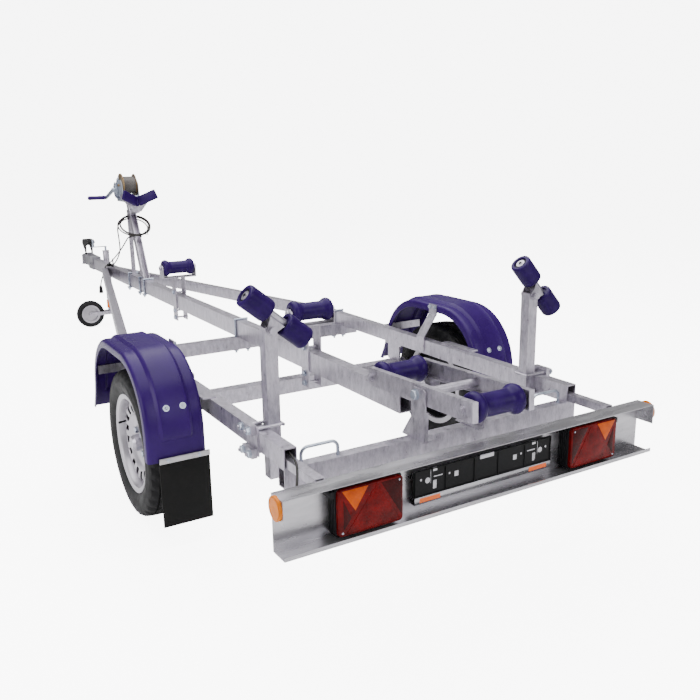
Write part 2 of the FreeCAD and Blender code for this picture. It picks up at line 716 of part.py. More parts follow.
def side_roller(side, which, x, lean):
    """One roller of a head: which is +1 for the end that lies high and -1 for the low one."""
    name = f"SideRoller{side}{'High' if which > 0 else 'Low'}"
    low, high = "-side_roller_length / 2", "side_roller_length / 2"
    points = [("side_roller_bore", f"{low} + side_roller_well"),
              ("side_roller_washer + 6", f"{low} + side_roller_well"),
              ("side_roller_washer + 8", low), ("side_roller_radius - 6",
                                                low), ("side_roller_radius - 1.5", f"{low} + 2"),
              ("side_roller_radius", f"{low} + 7"), ("side_roller_radius",
                                                     f"{high} - 7"), ("side_roller_radius - 1.5",
                                                                      f"{high} - 2"),
              ("side_roller_radius - 6", high), ("side_roller_washer + 8", high),
              ("side_roller_washer + 6", f"{high} - side_roller_well"), ("side_roller_bore",
                                                                         f"{high} - side_roller_well")]
    along = f"{which} * (head_half + side_roller_length / 2)"
    y = f"{POST_MIDDLE} + ({along}) * cos({lean}) - head_rise * sin({lean})"
    z = f"head_z + ({along}) * sin({lean}) + head_rise * cos({lean})"
    return turned(name, points, x, y, z, Turn(Vec(1, 0, 0), value(lean)))


# Both heads have tipped the same way, toward the left-hand side of the trailer.
POST_AT = {"left": ("-post_x_left", "head_lean_left"), "right": ("-post_x_right", "head_lean_right")}
for side, (x, lean) in POST_AT.items():
    post = roller_post(side.title(), x)
    head_lean = SIZES[lean] if side == "left" else -SIZES[lean]
    head = rocking_head(side.title(), x, head_lean)
    outer = side_roller(side.title(), 1, x, lean if side == "left" else f"(0 - {lean})")
    inner = side_roller(side.title(), -1, x, lean if side == "left" else f"(0 - {lean})")
    things = [post, head, outer, inner]
    if side == "right":
        things = [mirrored(f"{thing.Name}Other", thing) for thing in things]
    keep(f"roller_post_{side}", things[0])
    keep(f"roller_head_{side}", things[1])
    keep(f"side_roller_{side}_outer", things[2])
    keep(f"side_roller_{side}_inner", things[3])

# Keel rollers: waisted, on shafts across the keel.
KEEL_ROLLER = [("keel_roller_bore", "-keel_roller_length / 2"),
               ("keel_roller_radius - 8", "-keel_roller_length / 2"),
               ("keel_roller_radius", "-keel_roller_length / 2 + 10"),
               ("keel_roller_radius - 1", "-keel_roller_length / 2 + 26"),
               ("keel_roller_waist", "-20"), ("keel_roller_waist", "20"),
               ("keel_roller_radius - 1", "keel_roller_length / 2 - 26"),
               ("keel_roller_radius", "keel_roller_length / 2 - 10"),
               ("keel_roller_radius - 8", "keel_roller_length / 2"),
               ("keel_roller_bore", "keel_roller_length / 2")]
BOGIE_X = "(keel_roller_radius - tail_reach + bogie_rear * cos(bogie_tilt))"
SPOTS = {"front_keel_roller": ("front_roller_x", "front_roller_z"),
         "middle_keel_roller": ("middle_roller_x", "middle_roller_z"),
         "bogie_roller_front": (f"{BOGIE_X} + bogie_front * cos(bogie_tilt)",
                                "bogie_z - bogie_front * sin(bogie_tilt)"),
         "bogie_roller_rear": (f"{BOGIE_X} - bogie_rear * cos(bogie_tilt)",
                               "bogie_z + bogie_rear * sin(bogie_tilt)")}
for name, (x, z) in SPOTS.items():
    keep(name, turned(name.title().replace("_", ""), KEEL_ROLLER, x, "0", z))


def roller_bracket(name, x, z):
    """Two flat legs beside the keel that carry a cradle with an ear at each end of the roller."""
    ear_in = "keel_roller_length / 2 + 4"
    floor = f"{z} - keel_roller_radius - 6"
    reach = f"({ear_in} + bracket_plate)"
    parts = [box(f"{name}Floor", f"{x} - bracket_half", f"-{reach}", f"{floor} - bracket_plate",
                 "2 * bracket_half", f"2 * {reach}", "bracket_plate")]
    for i, (leg_y, ear_y) in enumerate((("keel_width / 2 + 0.2", ear_in),
                                        ("-keel_width / 2 - 0.2 - bracket_plate", f"-{reach}"))):
        parts.append(box(f"{name}Leg{i}", f"{x} - bracket_half", leg_y, "bracket_low", "2 * bracket_half",
                         "bracket_plate",
                         f"{floor} - bracket_low - bracket_plate / 2"))
        ear = slab(f"{name}Ear{i}", [("-bracket_half", "-keel_roller_radius - 6 - bracket_plate"),
                                     ("bracket_half",
                                      "-keel_roller_radius - 6 - bracket_plate"), ("bracket_half", "-6"),
                                     ("bracket_half - 5", "8"), ("12", "17"), ("-12",
                                                                               "17"), ("5 - bracket_half",
                                                                                       "8"),
                                     ("-bracket_half", "-6")],
                   "bracket_plate", x, f"{ear_y} + bracket_plate", z)
        parts.append(ear)
        for j, level in enumerate((f"{KEEL_TOP} + 12", "frame_level - 14", "bracket_low + 16")):
            nut_y = f"{leg_y} + bracket_plate" if i == 0 else f"{leg_y} - 7"
            parts.append(rod(f"{name}Nut{i}{j}", "y", "9", "7", x, nut_y, level))
        shaft_nut = f"{ear_in} + bracket_plate" if i == 0 else f"-{reach} - 8"
        parts.append(rod(f"{name}ShaftNut{i}", "y", "13", "8", x, shaft_nut, z))
    for i, level in enumerate((f"{KEEL_TOP} + 12", "frame_level - 14", "bracket_low + 16")):
        parts.append(rod(f"{name}Bolt{i}", "y", "5", "keel_width + 30", x, "-keel_width / 2 - 15", level))
    parts.append(rod(f"{name}Shaft", "y", "keel_roller_bore - fit_gap", f"2 * {reach} + 18", x,
                     f"-{reach} - 9", z))
    return joined(name, *parts)


keep("roller_brackets", group("RollerBrackets", roller_bracket("FrontBracket", "front_roller_x",
                                                               "front_roller_z"),
                              roller_bracket("MiddleBracket", "middle_roller_x", "middle_roller_z")))


# Rocking bogie behind the keel: two channel bars with a roller near each end, on a pivot bolt.
def bogie_frame():
    """Built level round the pivot."""
    size = SIZES
    inner, flange, wall = size["bogie_side"], size["bogie_flange"], size["bogie_plate"]
    high = size["bogie_height"]
    rear, front = -size["bogie_rear"] - 43, size["bogie_front"] + 18
    outer = inner + flange
    bore, gap = size["keel_roller_bore"], size["fit_gap"]
    parts = []
    for way in (1, -1):
        low_y = min(way * inner, way * outer)
        bar = Part.makeBox(front - rear, flange, high, Vec(rear, low_y, -high / 2))
        hollow = Part.makeBox(front - rear, flange, high - 2 * wall,
                              Vec(rear + wall, low_y - way * wall, wall - high / 2))
        bar = bar.cut(hollow).cut(Part.makeCylinder(8 + gap, 3 * outer, Vec(0, -1.5 * outer, 0),
                                                    Vec(0, 1, 0)))
        parts.append(bar)
        for x in (-size["bogie_rear"], size["bogie_front"]):
            parts.append(Part.makeCylinder(13, 8, Vec(x, way * outer, 0), Vec(0, way, 0)))
    for x in (-size["bogie_rear"], size["bogie_front"]):
        parts.append(Part.makeCylinder(bore - gap, 2 * outer + 22, Vec(x, -outer - 11, 0), Vec(0, 1, 0)))
    sleeve = Part.makeCylinder(14, 2 * inner + 2 * flange - 2 * wall + 1, Vec(0, -outer + wall - 0.5, 0),
                               Vec(0, 1, 0))
    parts.append(sleeve.cut(Part.makeCylinder(8 + gap, 3 * outer, Vec(0, -1.5 * outer, 0), Vec(0, 1, 0))))
    return parts[0].fuse(parts[1:])


keep("bogie_cradle", made("BogieCradle", bogie_frame(),
                          FreeCAD.Placement(Vec(value(BOGIE_X), 0, SIZES["bogie_z"]),
                                            Turn(Vec(0, 1, 0), SIZES["bogie_tilt"]))))
BOGIE_OUT = "bogie_side + bogie_flange"
supports = []
for i, (plate_y, foot_y) in enumerate(((f"{BOGIE_OUT} + 2 + bracket_plate",
                                        f"{BOGIE_OUT} + 2 + bracket_plate - 34"),
                                       (f"-({BOGIE_OUT}) - 2", f"-({BOGIE_OUT}) - 2 - bracket_plate"))):
    supports.append(slab(f"BogieUpright{i}",
                         [("-bogie_foot_rear", "frame_level - bogie_z"),
                          ("bogie_foot_front", "frame_level - bogie_z"),
                          ("bogie_foot_front", "frame_level - bogie_z + 5"),
                                              ("22", "-70"), ("20", "14"), ("12", "22"), ("-37",
                                                                                          "22"), ("-45",
                                                                                                  "14")],
                         "bracket_plate", BOGIE_X, plate_y, "bogie_z"))
    supports.append(box(f"BogieFoot{i}", f"{BOGIE_X} - 45", foot_y, "frame_level", "bogie_foot_rear + bogie_foot_front", "34", "5"))
    supports.append(box(f"BogieFlange{i}", f"{BOGIE_X} - 45",
                        f"{plate_y} - 14" if i == 0 else f"{plate_y} - bracket_plate",
                        "frame_level", "5", "14", "bogie_z - frame_level - 48"))
supports.append(rod("BogiePivot", "y", "8", f"2 * ({BOGIE_OUT}) + 36", BOGIE_X, f"-({BOGIE_OUT}) - 18",
                    "bogie_z"))
for i, y in enumerate((f"{BOGIE_OUT} + 2 + bracket_plate", f"-({BOGIE_OUT}) - 10 - bracket_plate")):
    supports.append(rod(f"BogiePivotNut{i}", "y", "13", "8", BOGIE_X, y, "bogie_z"))
keep("bogie_uprights", joined("BogieUprights", *supports))

# Winch post with its upper bracket and the arm of the bow stop.
foot = box("WinchFoot", "winch_post_foot - 75", "-keel_width / 2", KEEL_TOP,
           "winch_strut_x - winch_post_foot + 115", "keel_width", "foot_plate")
LEAN = "winch_post_top - winch_post_foot"
main_leg = slab("WinchLeg", [("0", "4"), ("winch_post_width", "4"),
                             (f"{LEAN} + winch_post_width - 14", "winch_post_height"), (LEAN,
                                                                                        "winch_post_height")],
                "40", "winch_post_foot - winch_post_width / 2", "20", KEEL_TOP)
hollow_leg = slab("WinchLegInside", [("-20", "0"), ("winch_post_width - 4", "0"),
                                     (f"{LEAN} + winch_post_width - 18", "winch_post_height + 1"),
                                     (f"{LEAN} - 20", "winch_post_height + 1")],
                  "32", "winch_post_foot - winch_post_width / 2", "16", KEEL_TOP)
leg = cut("WinchLegChannel", main_leg, hollow_leg)
strut = box("WinchStrut", "winch_strut_x", "-12", f"{KEEL_TOP} + 4", "20", "24", "winch_post_height - 60")
bow_plate = slab("BowPlate", [("-26", "-34"), ("26", "-34"), ("bow_span - 16", "62"),
                              ("bow_span - 30", "80"), ("0", "16"),
                              ("30 - bow_span", "80"), ("16 - bow_span",
                                                        "62")], "5", "bow_x + bow_half", "0", "bow_z", ACROSS)
bow_arm = slab("BowArm", [("2", "-12"), ("2", "-40"), ("winch_post_top - bow_x - bow_half - 30", "-62"),
                          ("winch_post_top - bow_x - bow_half - 30", "-34")],
               "32", "bow_x + bow_half", "16", "bow_z")
keep("winch_post", joined("WinchPost", foot, leg, strut, bow_plate, bow_arm))
pads = []
for i, sign in enumerate(("", "-")):
    pad = slab(f"BowPad{i}", [(f"{sign}1", "0"), (f"{sign}(bow_span - 8)", "bow_span * 0.75"),
                              (f"{sign}(bow_span - 8 - bow_pad * 0.6)", "bow_span * 0.75 + bow_pad * 0.8"),
                              (f"{sign}1", "bow_pad * 1.25")],
               "2 * bow_half", "bow_x - bow_half", "0", "bow_z - 4", ACROSS)
    pads.append(rounded(pad, "5", lambda e: e.Length > 50))
keep("bow_pads", group("BowPads", *pads))


# Hand winch: a frame of two cheeks, a drum with its gear, and a crank with the pinion that drives it.
def toothed(name, teeth, x, z, low_y, heading):
    """A spur gear with straight teeth of involute flanks; one tooth points along the heading, in degrees."""
    size = SIZES
    step = size["gear_module"]
    pitch = step * teeth / 2
    base = pitch * math.cos(math.radians(20))
    outer, root = pitch + 0.8 * step, pitch - 1.1 * step
    half = (math.pi * step / 2 - size["gear_backlash"]) / (2 * pitch)

    def swerve(radius):
        angle = math.acos(min(1, base / radius))
        return math.tan(angle) - angle

    flank = []
    for i in range(4):
        radius = max(base, root) + (outer - max(base, root)) * i / 3
        flank.append((radius, half + swerve(pitch) - swerve(radius)))
    if root < base:
        flank.insert(0, (root, flank[0][1]))
    points = []
    for tooth in range(teeth):
        middle = math.radians(heading) + 2 * math.pi * tooth / teeth
        for radius, angle in [(r, -a) for r, a in flank] + flank[::-1]:
            points.append(Vec(radius * math.cos(middle + angle), 0, radius * math.sin(middle + angle)))
    face = Part.Face(Part.makePolygon(points + [points[0]]))
    return made(name, face.extrude(Vec(0, size["gear_width"], 0)),
                FreeCAD.Placement(Vec(value(x), value(low_y), value(z)), Turn()))


MESH = "((gear_teeth + pinion_teeth) * gear_module / 2)"
CRANK_X = "(winch_x + crank_ahead)"
CRANK_Z = f"(winch_z - sqrt({MESH} * {MESH} - crank_ahead * crank_ahead))"
HEADING = math.degrees(math.atan2(value(CRANK_Z) - SIZES["winch_z"], SIZES["crank_ahead"]))
CHEEK_LEFT = "(drum_length / 2 + winch_cheek_gap + drum_plate)"
CHEEK_RIGHT = "(drum_length / 2 + 7)"
CHEEK = [("-70", "-102"), ("80", "-102"), ("104", "-62"), ("112", "-32"), ("104", "-14"), ("72", "6"),
         ("30", "34"), ("-30", "34"),
         ("-58", "10")]
frame_parts = []
for i, at in enumerate((CHEEK_LEFT, f"-{CHEEK_RIGHT}")):
    cheek = slab(f"WinchCheek{i}", CHEEK, "drum_plate", "winch_x", at, "winch_z")
    bores = [rod(f"WinchCheekBore{i}{j}", "y", "shaft_radius + fit_gap", "30", x, f"{at} - 15", z)
             for j, (x, z) in enumerate((("winch_x", "winch_z"), (CRANK_X, CRANK_Z)))]
    frame_parts.append(cut(f"WinchCheekBored{i}", cheek, *bores))
frame_parts.append(box("WinchBase", "winch_x - 70", f"-{CHEEK_RIGHT} - drum_plate", "winch_z - 105",
                       "150", f"{CHEEK_LEFT} + {CHEEK_RIGHT} + drum_plate", "4"))
for i, (x, z) in enumerate((("-44", "-72"), ("88", "-80"))):
    frame_parts.append(rod(f"WinchTie{i}", "y", "6", f"{CHEEK_LEFT} + {CHEEK_RIGHT} + drum_plate + 14",
                           f"winch_x + ({x})",
                           f"-{CHEEK_RIGHT} - drum_plate - 7", f"winch_z + ({z})"))
keep("winch_frame", joined("WinchFrame", *frame_parts))
drum = turned("WinchDrum", [("0", f"-{CHEEK_RIGHT} - drum_plate - 12"), ("shaft_radius",
                                                                         f"-{CHEEK_RIGHT} - drum_plate - 12"),
                            ("shaft_radius", "-drum_length / 2"), ("drum_radius", "-drum_length / 2"),
                            ("drum_radius", "-drum_length / 2 + drum_plate"), ("drum_core + 14",
                                                                               "-drum_length / 2 + drum_plate"),
                            ("drum_core + 14", "drum_length / 2 - drum_plate"), ("drum_radius - 4",
                                                                                 "drum_length / 2 - drum_plate"),
                            ("drum_radius - 4", "drum_length / 2"), ("shaft_radius", "drum_length / 2"),
                            ("shaft_radius", f"{CHEEK_LEFT} + 10"), ("0", f"{CHEEK_LEFT} + 10")],
              "winch_x", "0", "winch_z")
gear = toothed("DrumGear", int(SIZES["gear_teeth"]), "winch_x", "winch_z", "drum_length / 2 - 0.5", HEADING)
keep("winch_drum", joined("GearedDrum", drum, gear))
pinion = toothed("CrankPinion", int(SIZES["pinion_teeth"]), CRANK_X, CRANK_Z, "drum_length / 2 + 0.8",
                 HEADING + 180 + 180 / SIZES["pinion_teeth"])
crank_shaft = rod("CrankShaft", "y", "shaft_radius", f"crank_y + 16 + {CHEEK_RIGHT} + drum_plate + 10",
                  CRANK_X,
                  f"-{CHEEK_RIGHT} - drum_plate - 10", CRANK_Z)
crank_boss = rod("CrankBoss", "y", "15", "16", CRANK_X, "crank_y", CRANK_Z)
crank_arm = slab("CrankArm", [("-14", "0"), ("-5", "14"), ("10", "12"), ("crank_reach + 6",
                                                                         "-crank_reach * 0.28 + 10"),
                              ("crank_reach + 9", "-crank_reach * 0.28 - 4"), ("crank_reach - 4",
                                                                               "-crank_reach * 0.28 - 12"), ("-2", "-14")],
                 "6", CRANK_X, "crank_y + 12", CRANK_Z)
crank_pin = rod("CrankPin", "y", "6", "grip_length", f"{CRANK_X} + crank_reach - 4", "crank_y + 8",
                f"{CRANK_Z} - crank_reach * 0.28")
keep("winch_crank", joined("WinchCrank", crank_shaft, crank_boss, pinion, crank_arm, crank_pin))
grip = turned("WinchGrip", [("6.3", "0"), ("grip_radius - 3", "0"), ("grip_radius", "10"),
                            ("grip_radius - 1", "grip_length / 2"),
                            ("grip_radius", "grip_length - 10"), ("grip_radius - 4", "grip_length"), ("0",
                                                                                                      "grip_length"),
                            ("0", "grip_length - 4"), ("6.3", "grip_length - 4")],
              f"{CRANK_X} + crank_reach - 4", "crank_y + 14", f"{CRANK_Z} - crank_reach * 0.28")
keep("winch_grip", grip)

# Coupling head with its locking handle: the outline seen from the side crossed with the one seen from above.
COUPLING_REAR = "nose_reach - coupling_length"
CUP_X = "nose_reach - cup_radius - cup_lip"
CUP_Z = "coupling_z - 25"
side_view = slab("CouplingSide", [("0", "-68"), ("140", "-68"), ("230", "-56"), ("300", "-58"),
                                  ("coupling_length", "-58"),
                                  ("coupling_length", "-8"), ("coupling_length - 26", "16"), ("300",
                                                                                              "34"), ("235", "44"), ("150", "30"),
                                  ("0", "28")],
                 "2 * cup_radius + 20", COUPLING_REAR, "cup_radius + 10", "coupling_z")
top_view = slab("CouplingTop", [("0", "-coupling_half"), ("130", "-coupling_half"), ("210", "-22"),
                                ("300", "-22"),
                                ("coupling_length - cup_radius - 24",
                                 "-cup_radius + 6"), ("coupling_length - cup_radius + 14",
                                                      "-cup_radius + 3"),
                                ("coupling_length - 14", "-cup_radius + 12"), ("coupling_length",
                                                                               "-11"), ("coupling_length",
                                                                                        "11"),
                                ("coupling_length - 14",
                                 "cup_radius - 12"), ("coupling_length - cup_radius + 14",
                                                      "cup_radius - 3"),
                                ("coupling_length - cup_radius - 24", "cup_radius - 6"), ("300",
                                                                                          "22"), ("210",
                                                                                                  "22"), ("130", "coupling_half"),
                                ("0", "coupling_half")],
                "160", COUPLING_REAR, "0", "coupling_z - 90", Turn())
crossed = doc.addObject("Part::MultiCommon", "CouplingCrossed")
crossed.Shapes = [side_view, top_view]
cup = rod("CouplingCup", "z", "cup_radius", "34", CUP_X, "0", f"{CUP_Z} - 34")
dome = doc.addObject("Part::Sphere", "CouplingDome")
bind(dome, "Radius", "cup_radius")
dome.Angle1 = 0
place(dome, CUP_X, "0", CUP_Z)
cup_rim = rod("CouplingLip", "z", "cup_radius + cup_lip", "5", CUP_X, "0", f"{CUP_Z} - 34")
keel_slot = box("CouplingSlot", f"{COUPLING_REAR} - 5", "-keel_width / 2 - 0.2", "frame_level - 0.2",
                "keel_front - nose_reach + coupling_length + 6", "keel_width + 0.4", "keel_height + 0.4")
ball = doc.addObject("Part::Sphere", "BallSocket")
bind(ball, "Radius", "ball_radius + 0.5")
place(ball, CUP_X, "0", CUP_Z)
throat = rod("BallThroat", "z", "ball_radius + 0.5", "80", CUP_X, "0", f"{CUP_Z} - 80")
head_bolts = [rod(f"CouplingBolt{i}{j}", "y", "9", "12", f"{COUPLING_REAR} + {x}", y, "coupling_z - 25")
              for i, x in enumerate(("24", "84")) for j, y in enumerate(("-coupling_half - 8",
                                                                         "coupling_half - 4"))]
pin_hole = rod("CouplingPinHole", "y", "5 + bolt_gap", "80", "nose_reach - 150", "-40", "coupling_z + 36")
coupling_solid = joined("CouplingSolid", crossed, cup, dome, cup_rim)
coupling_shell = cut("CouplingBody", coupling_solid, keel_slot, ball, throat, pin_hole)
keep("coupling_body", joined("CouplingBolted", coupling_shell, *head_bolts))
handle_side = slab("CouplingHandleSide", [("-14", "-22"), ("18", "-22"), ("40", "10"), ("112", "62"),
                                          ("104", "86"), ("60", "100"),
                                          ("0", "104"), ("-84", "100"), ("-120", "88"), ("-116",
                                                                                         "76"), ("-66",
                                                                                                 "72"), ("-30", "44")],
                   "52", "nose_reach - 150", "26", "coupling_z + 50")
handle_hollow = slab("CouplingHandleInside", [("-20", "-30"), ("20", "-30"), ("104", "60"), ("96", "80"),
                                              ("58", "92"), ("0", "96"),
                                              ("-60", "92"), ("-40", "40")],
                     "46.4", "nose_reach - 150", "23.2", "coupling_z + 50")
handle_pin = rod("CouplingPin", "y", "5", "56", "nose_reach - 150", "-28", "coupling_z + 36")
keep("coupling_handle", joined("CouplingHandle", cut("CouplingHandleShell", handle_side, handle_hollow),
                               handle_pin))

# Jack: a clamped sleeve beside the keel, a sliding tube, a castor fork and its wheel.
JACK_Y = "-jack_side"
sleeve = turned("JackSleeveTube", [("jack_outer - jack_wall", "0"), ("jack_outer", "0"),
                                   ("jack_outer", "jack_top - jack_low"),
                                   ("jack_outer - jack_wall", "jack_top - jack_low")],
                "jack_x", JACK_Y, "jack_low", Turn(Vec(1, 0, 0), 90))
clamp_block = box("JackClamp", "jack_x - 60", "-keel_width / 2 - 7", "frame_level + 4", "100", "7",
                  "keel_height - 8")
clamp_full = cut("JackClampCut", clamp_block, rod("JackClampBore", "z", "jack_outer - 0.5", "200",
                                                  "jack_x", JACK_Y, "frame_level - 50"))
cap = turned("JackCap", [("8 + fit_gap", "0"), ("jack_outer + 2", "0"), ("jack_outer + 2", "6"),
                         ("8 + fit_gap", "6")],
             "jack_x", JACK_Y, "jack_top", Turn(Vec(1, 0, 0), 90))
ring = turned("JackRing", [("jack_outer - 1", "0"), ("jack_outer + 6", "0"), ("jack_outer + 6", "26"),
                           ("jack_outer - 1", "26")],
              "jack_x", JACK_Y, "frame_level + 14", Turn(Vec(1, 0, 0), 90))
ears = box("JackClampEars", "jack_x - 14", f"{JACK_Y} - jack_outer - 26", "frame_level + 14", "28", "24",
           "26")
screw = rod("JackScrew", "x", "6", "60", "jack_x - 34", f"{JACK_Y} - jack_outer - 16", "frame_level + 27")
lever = rod("JackLever", "z", "5", "74", "jack_x - 30", f"{JACK_Y} - jack_outer - 16", "frame_level + 12")
keep("jack_sleeve", joined("JackSleeve", sleeve, clamp_full, cap, ring, ears, screw, lever))
SLIDER = "(jack_outer - jack_wall - fit_gap)"
SLIDER_LONG = "jack_reach - jack_foot - 40"
slider = turned("JackSlider", [("jack_bore", "0"), (SLIDER, "0"), (SLIDER, SLIDER_LONG),
                               ("jack_bore", SLIDER_LONG)],
                "jack_x", JACK_Y, "jack_foot + 40", Turn(Vec(1, 0, 0), 90))
keep("jack_tube", slider)
band = turned("JackBand", [(f"{SLIDER} + 0.2", "0"), ("band_radius", "0"),
                           ("band_radius", "band_high - band_low"),
                           (f"{SLIDER} + 0.2",
                            "band_high - band_low")], "jack_x", JACK_Y, "band_low", Turn(Vec(1, 0, 0), 90))
keep("jack_band", band)
fork_parts = []
for i, sign in enumerate(("", "-")):
    fork_parts.append(box(f"ForkArm{i}", f"jack_x - 2.5 {'+' if not sign else '-'} (jockey_width / 2 + 8)",
                          f"{JACK_Y} - 20", "jockey_radius - 14", "5", "jockey_offset + 34", "28"))
fork_parts.append(box("ForkBridge", "jack_x - jockey_width / 2 - 10.5", f"{JACK_Y} - 20",
                      "jockey_radius - 6",
                      "jockey_width + 21", "40", "8"))
fork_parts.append(rod("ForkStem", "z", "jack_bore - fit_gap", "60", "jack_x", JACK_Y, "jockey_radius"))
fork_parts.append(turned("ForkCollar", [("0", "0"), ("jack_bore + 6", "0"), ("jack_bore + 6",
                                                                             "jack_foot + 40 - jockey_radius"),
                                        ("0", "jack_foot + 40 - jockey_radius")],
                         "jack_x", JACK_Y, "jockey_radius", Turn(Vec(1, 0, 0), 90)))
fork_parts.append(rod("JockeyAxle", "x", "jockey_axle", "jockey_width + 40",
                      "jack_x - jockey_width / 2 - 20",
                      f"{JACK_Y} + jockey_offset", "jockey_radius"))
keep("jockey_fork", joined("JockeyFork", *fork_parts))
JOCKEY_TYRE = [("60.3", "-15"), ("71", "-19"), ("jockey_radius - 12", "-jockey_width / 2"),
               ("jockey_radius - 3", "-jockey_width / 2 + 5"), ("jockey_radius", "-jockey_width / 2 + 13"),
               ("jockey_radius", "jockey_width / 2 - 13"), ("jockey_radius - 3", "jockey_width / 2 - 5"),
               ("jockey_radius - 12", "jockey_width / 2"), ("71", "19"), ("60.3", "15")]
JOCKEY_RIM = [("jockey_axle + fit_gap", "-24"), ("16", "-24"), ("16", "-6"), ("54", "-4"), ("56", "-20"),
              ("70", "-20"),
              ("60", "-16"), ("60", "16"), ("70", "20"), ("56", "20"), ("54", "4"), ("16", "6"), ("16",
                                                                                                  "24"),
              ("jockey_axle + fit_gap", "24")]
SPIN = Turn(Vec(0, 0, 1), -90)
for name, points in (("jockey_tyre", JOCKEY_TYRE), ("jockey_rim", JOCKEY_RIM)):
    keep(name, turned(name.title().replace("_", ""), points, "jack_x", f"{JACK_Y} + jockey_offset",
                      "jockey_radius", SPIN))
jack_crank = joined("JackCrank", rod("JackCrankShaft", "z", "8", "70", "jack_x", JACK_Y, "jack_top - 30"),
                    box("JackCrankArm", "jack_x - 8", f"{JACK_Y} - 8", "jack_top + 34", "16", "110", "6"),
                    rod("JackCrankGrip", "z", "9", "60", "jack_x", f"{JACK_Y} + 92", "jack_top + 36"))
keep("jack_crank", jack_crank)

# Light board: a channel open to the rear, on two arms that slide in the rails.
channel = slab("BoardChannel", [("0", "board_low"), ("-board_depth", "board_low"),
                                ("-board_depth", "board_low + board_lip"),
                                ("-board_depth + board_wall", "board_low + board_lip"),
                                ("-board_depth + board_wall", "board_low + board_wall"),
                                ("-board_wall", "board_low + board_wall"), ("-board_wall",
                                                                            "board_top - board_wall"),
                                ("-board_depth", "board_top - board_wall"), ("-board_depth",
                                                                             "board_top"), ("0",
                                                                                            "board_top")],
               "2 * board_half", "-board_x", "board_half", "0")
ends = [box(f"BoardEnd{i}", "-board_x - board_depth", y, "reflector_z - reflector_radius - 6",
            "board_depth", "board_wall",
            "board_top - reflector_z + reflector_radius + 6") for i, y in enumerate(("board_half - board_wall", "-board_half"))]
keep("light_board", joined("LightBoard", channel, *ends))
ARM_Z = "frame_level + rail_wall + 0.5"
arm = hollow_bar("BoardArmLeft", "x", ("board_x - arm_front", "arm_side", "arm_tall"), "2",
                 "-board_x", "rail_middle - arm_side / 2", ARM_Z)
keep("board_arms", group("BoardArms", arm, mirrored("BoardArmRight", arm)))
lamp = rounded(slab("LampLeft", [("0", "lamp_low"), ("0", "lamp_high"), ("-lamp_depth", "lamp_high"),
                                 ("-lamp_depth", "lamp_low")],
                    "lamp_outer - lamp_inner", "-board_x - board_wall", "lamp_outer", "0"),
               "6", lambda e: abs(e.Vertexes[0].X + value("lamp_depth")) < 0.01 and abs(e.Vertexes[-1].X + value("lamp_depth")) < 0.01)
keep("tail_lamp_left", lamp)
keep("tail_lamp_right", mirrored("LampRight", lamp))
plate = box("PlateBoard", "-board_x - board_wall - plate_stand - plate_thickness", "-plate_half",
            "plate_low",
            "plate_thickness", "2 * plate_half", "plate_high - plate_low")
feet = [box(f"PlateFoot{i}", "-board_x - board_wall - plate_stand", y, "plate_low - 10", "plate_stand",
            "24", "60")
        for i, y in enumerate(("-plate_half + 30", "plate_half - 54"))]
keep("plate_holder", joined("PlateHolder", plate, *feet))
reflector = rod("ReflectorLeft", "y", "reflector_radius", "9", "-board_x - board_depth / 2", "board_half",
                "reflector_z")
keep("side_reflectors", group("SideReflectors", reflector, mirrored("ReflectorRight", reflector)))


# Lead of the light board: up from the keel, in a coil round the winch post, and down to a hanging plug.
def cord(name, points, width):
    """A round lead along straight runs joined by tangent arcs."""
    spots = [Vec(*point) for point in points]
    runs = [(b - a) for a, b in zip(spots, spots[1:])]
    edges, last, bends, length = [], spots[0], [], 0
    for i in range(1, len(spots) - 1):
        before, after = Vec(runs[i - 1]).normalize(), Vec(runs[i]).normalize()
        back = 0.45 * min(runs[i - 1].Length, runs[i].Length)
        half = before.getAngle(after) / 2
        bends.append(back / math.tan(half))
        start, end = spots[i] - before * back, spots[i] + after * back
        inward = (after - before).normalize()
        middle = spots[i] + inward * (bends[-1] / math.cos(half) - bends[-1])
        edges += [Part.LineSegment(last, start).toShape(), Part.Arc(start, middle, end).toShape()]
        last = end
    edges.append(Part.LineSegment(last, spots[-1]).toShape())
    path = Part.Wire(edges)
    ring = Part.Wire([Part.makeCircle(width / 2, spots[0], runs[0])])
    solid = path.makePipeShell([ring], True, True)
    expected = math.pi * (width / 2) ** 2 * path.Length
    print(name, "length", round(path.Length), "tightest bend", round(min(bends)), "volume ratio",
          round(solid.Volume / expected, 4))
    return keep(name, made(name.title().replace("_", ""), solid))


def coil_point(angle):
    """A point of the coil's middle line, counted from its high side toward the left."""
    along, tilt = math.radians(angle), math.radians(SIZES["lead_coil_tilt"])
    ahead = SIZES["lead_coil_radius"] * math.cos(along)
    return (SIZES["lead_coil_x"] + ahead * math.cos(tilt), SIZES["lead_coil_radius"] * math.sin(along),
            SIZES["lead_coil_z"] + ahead * math.sin(tilt))


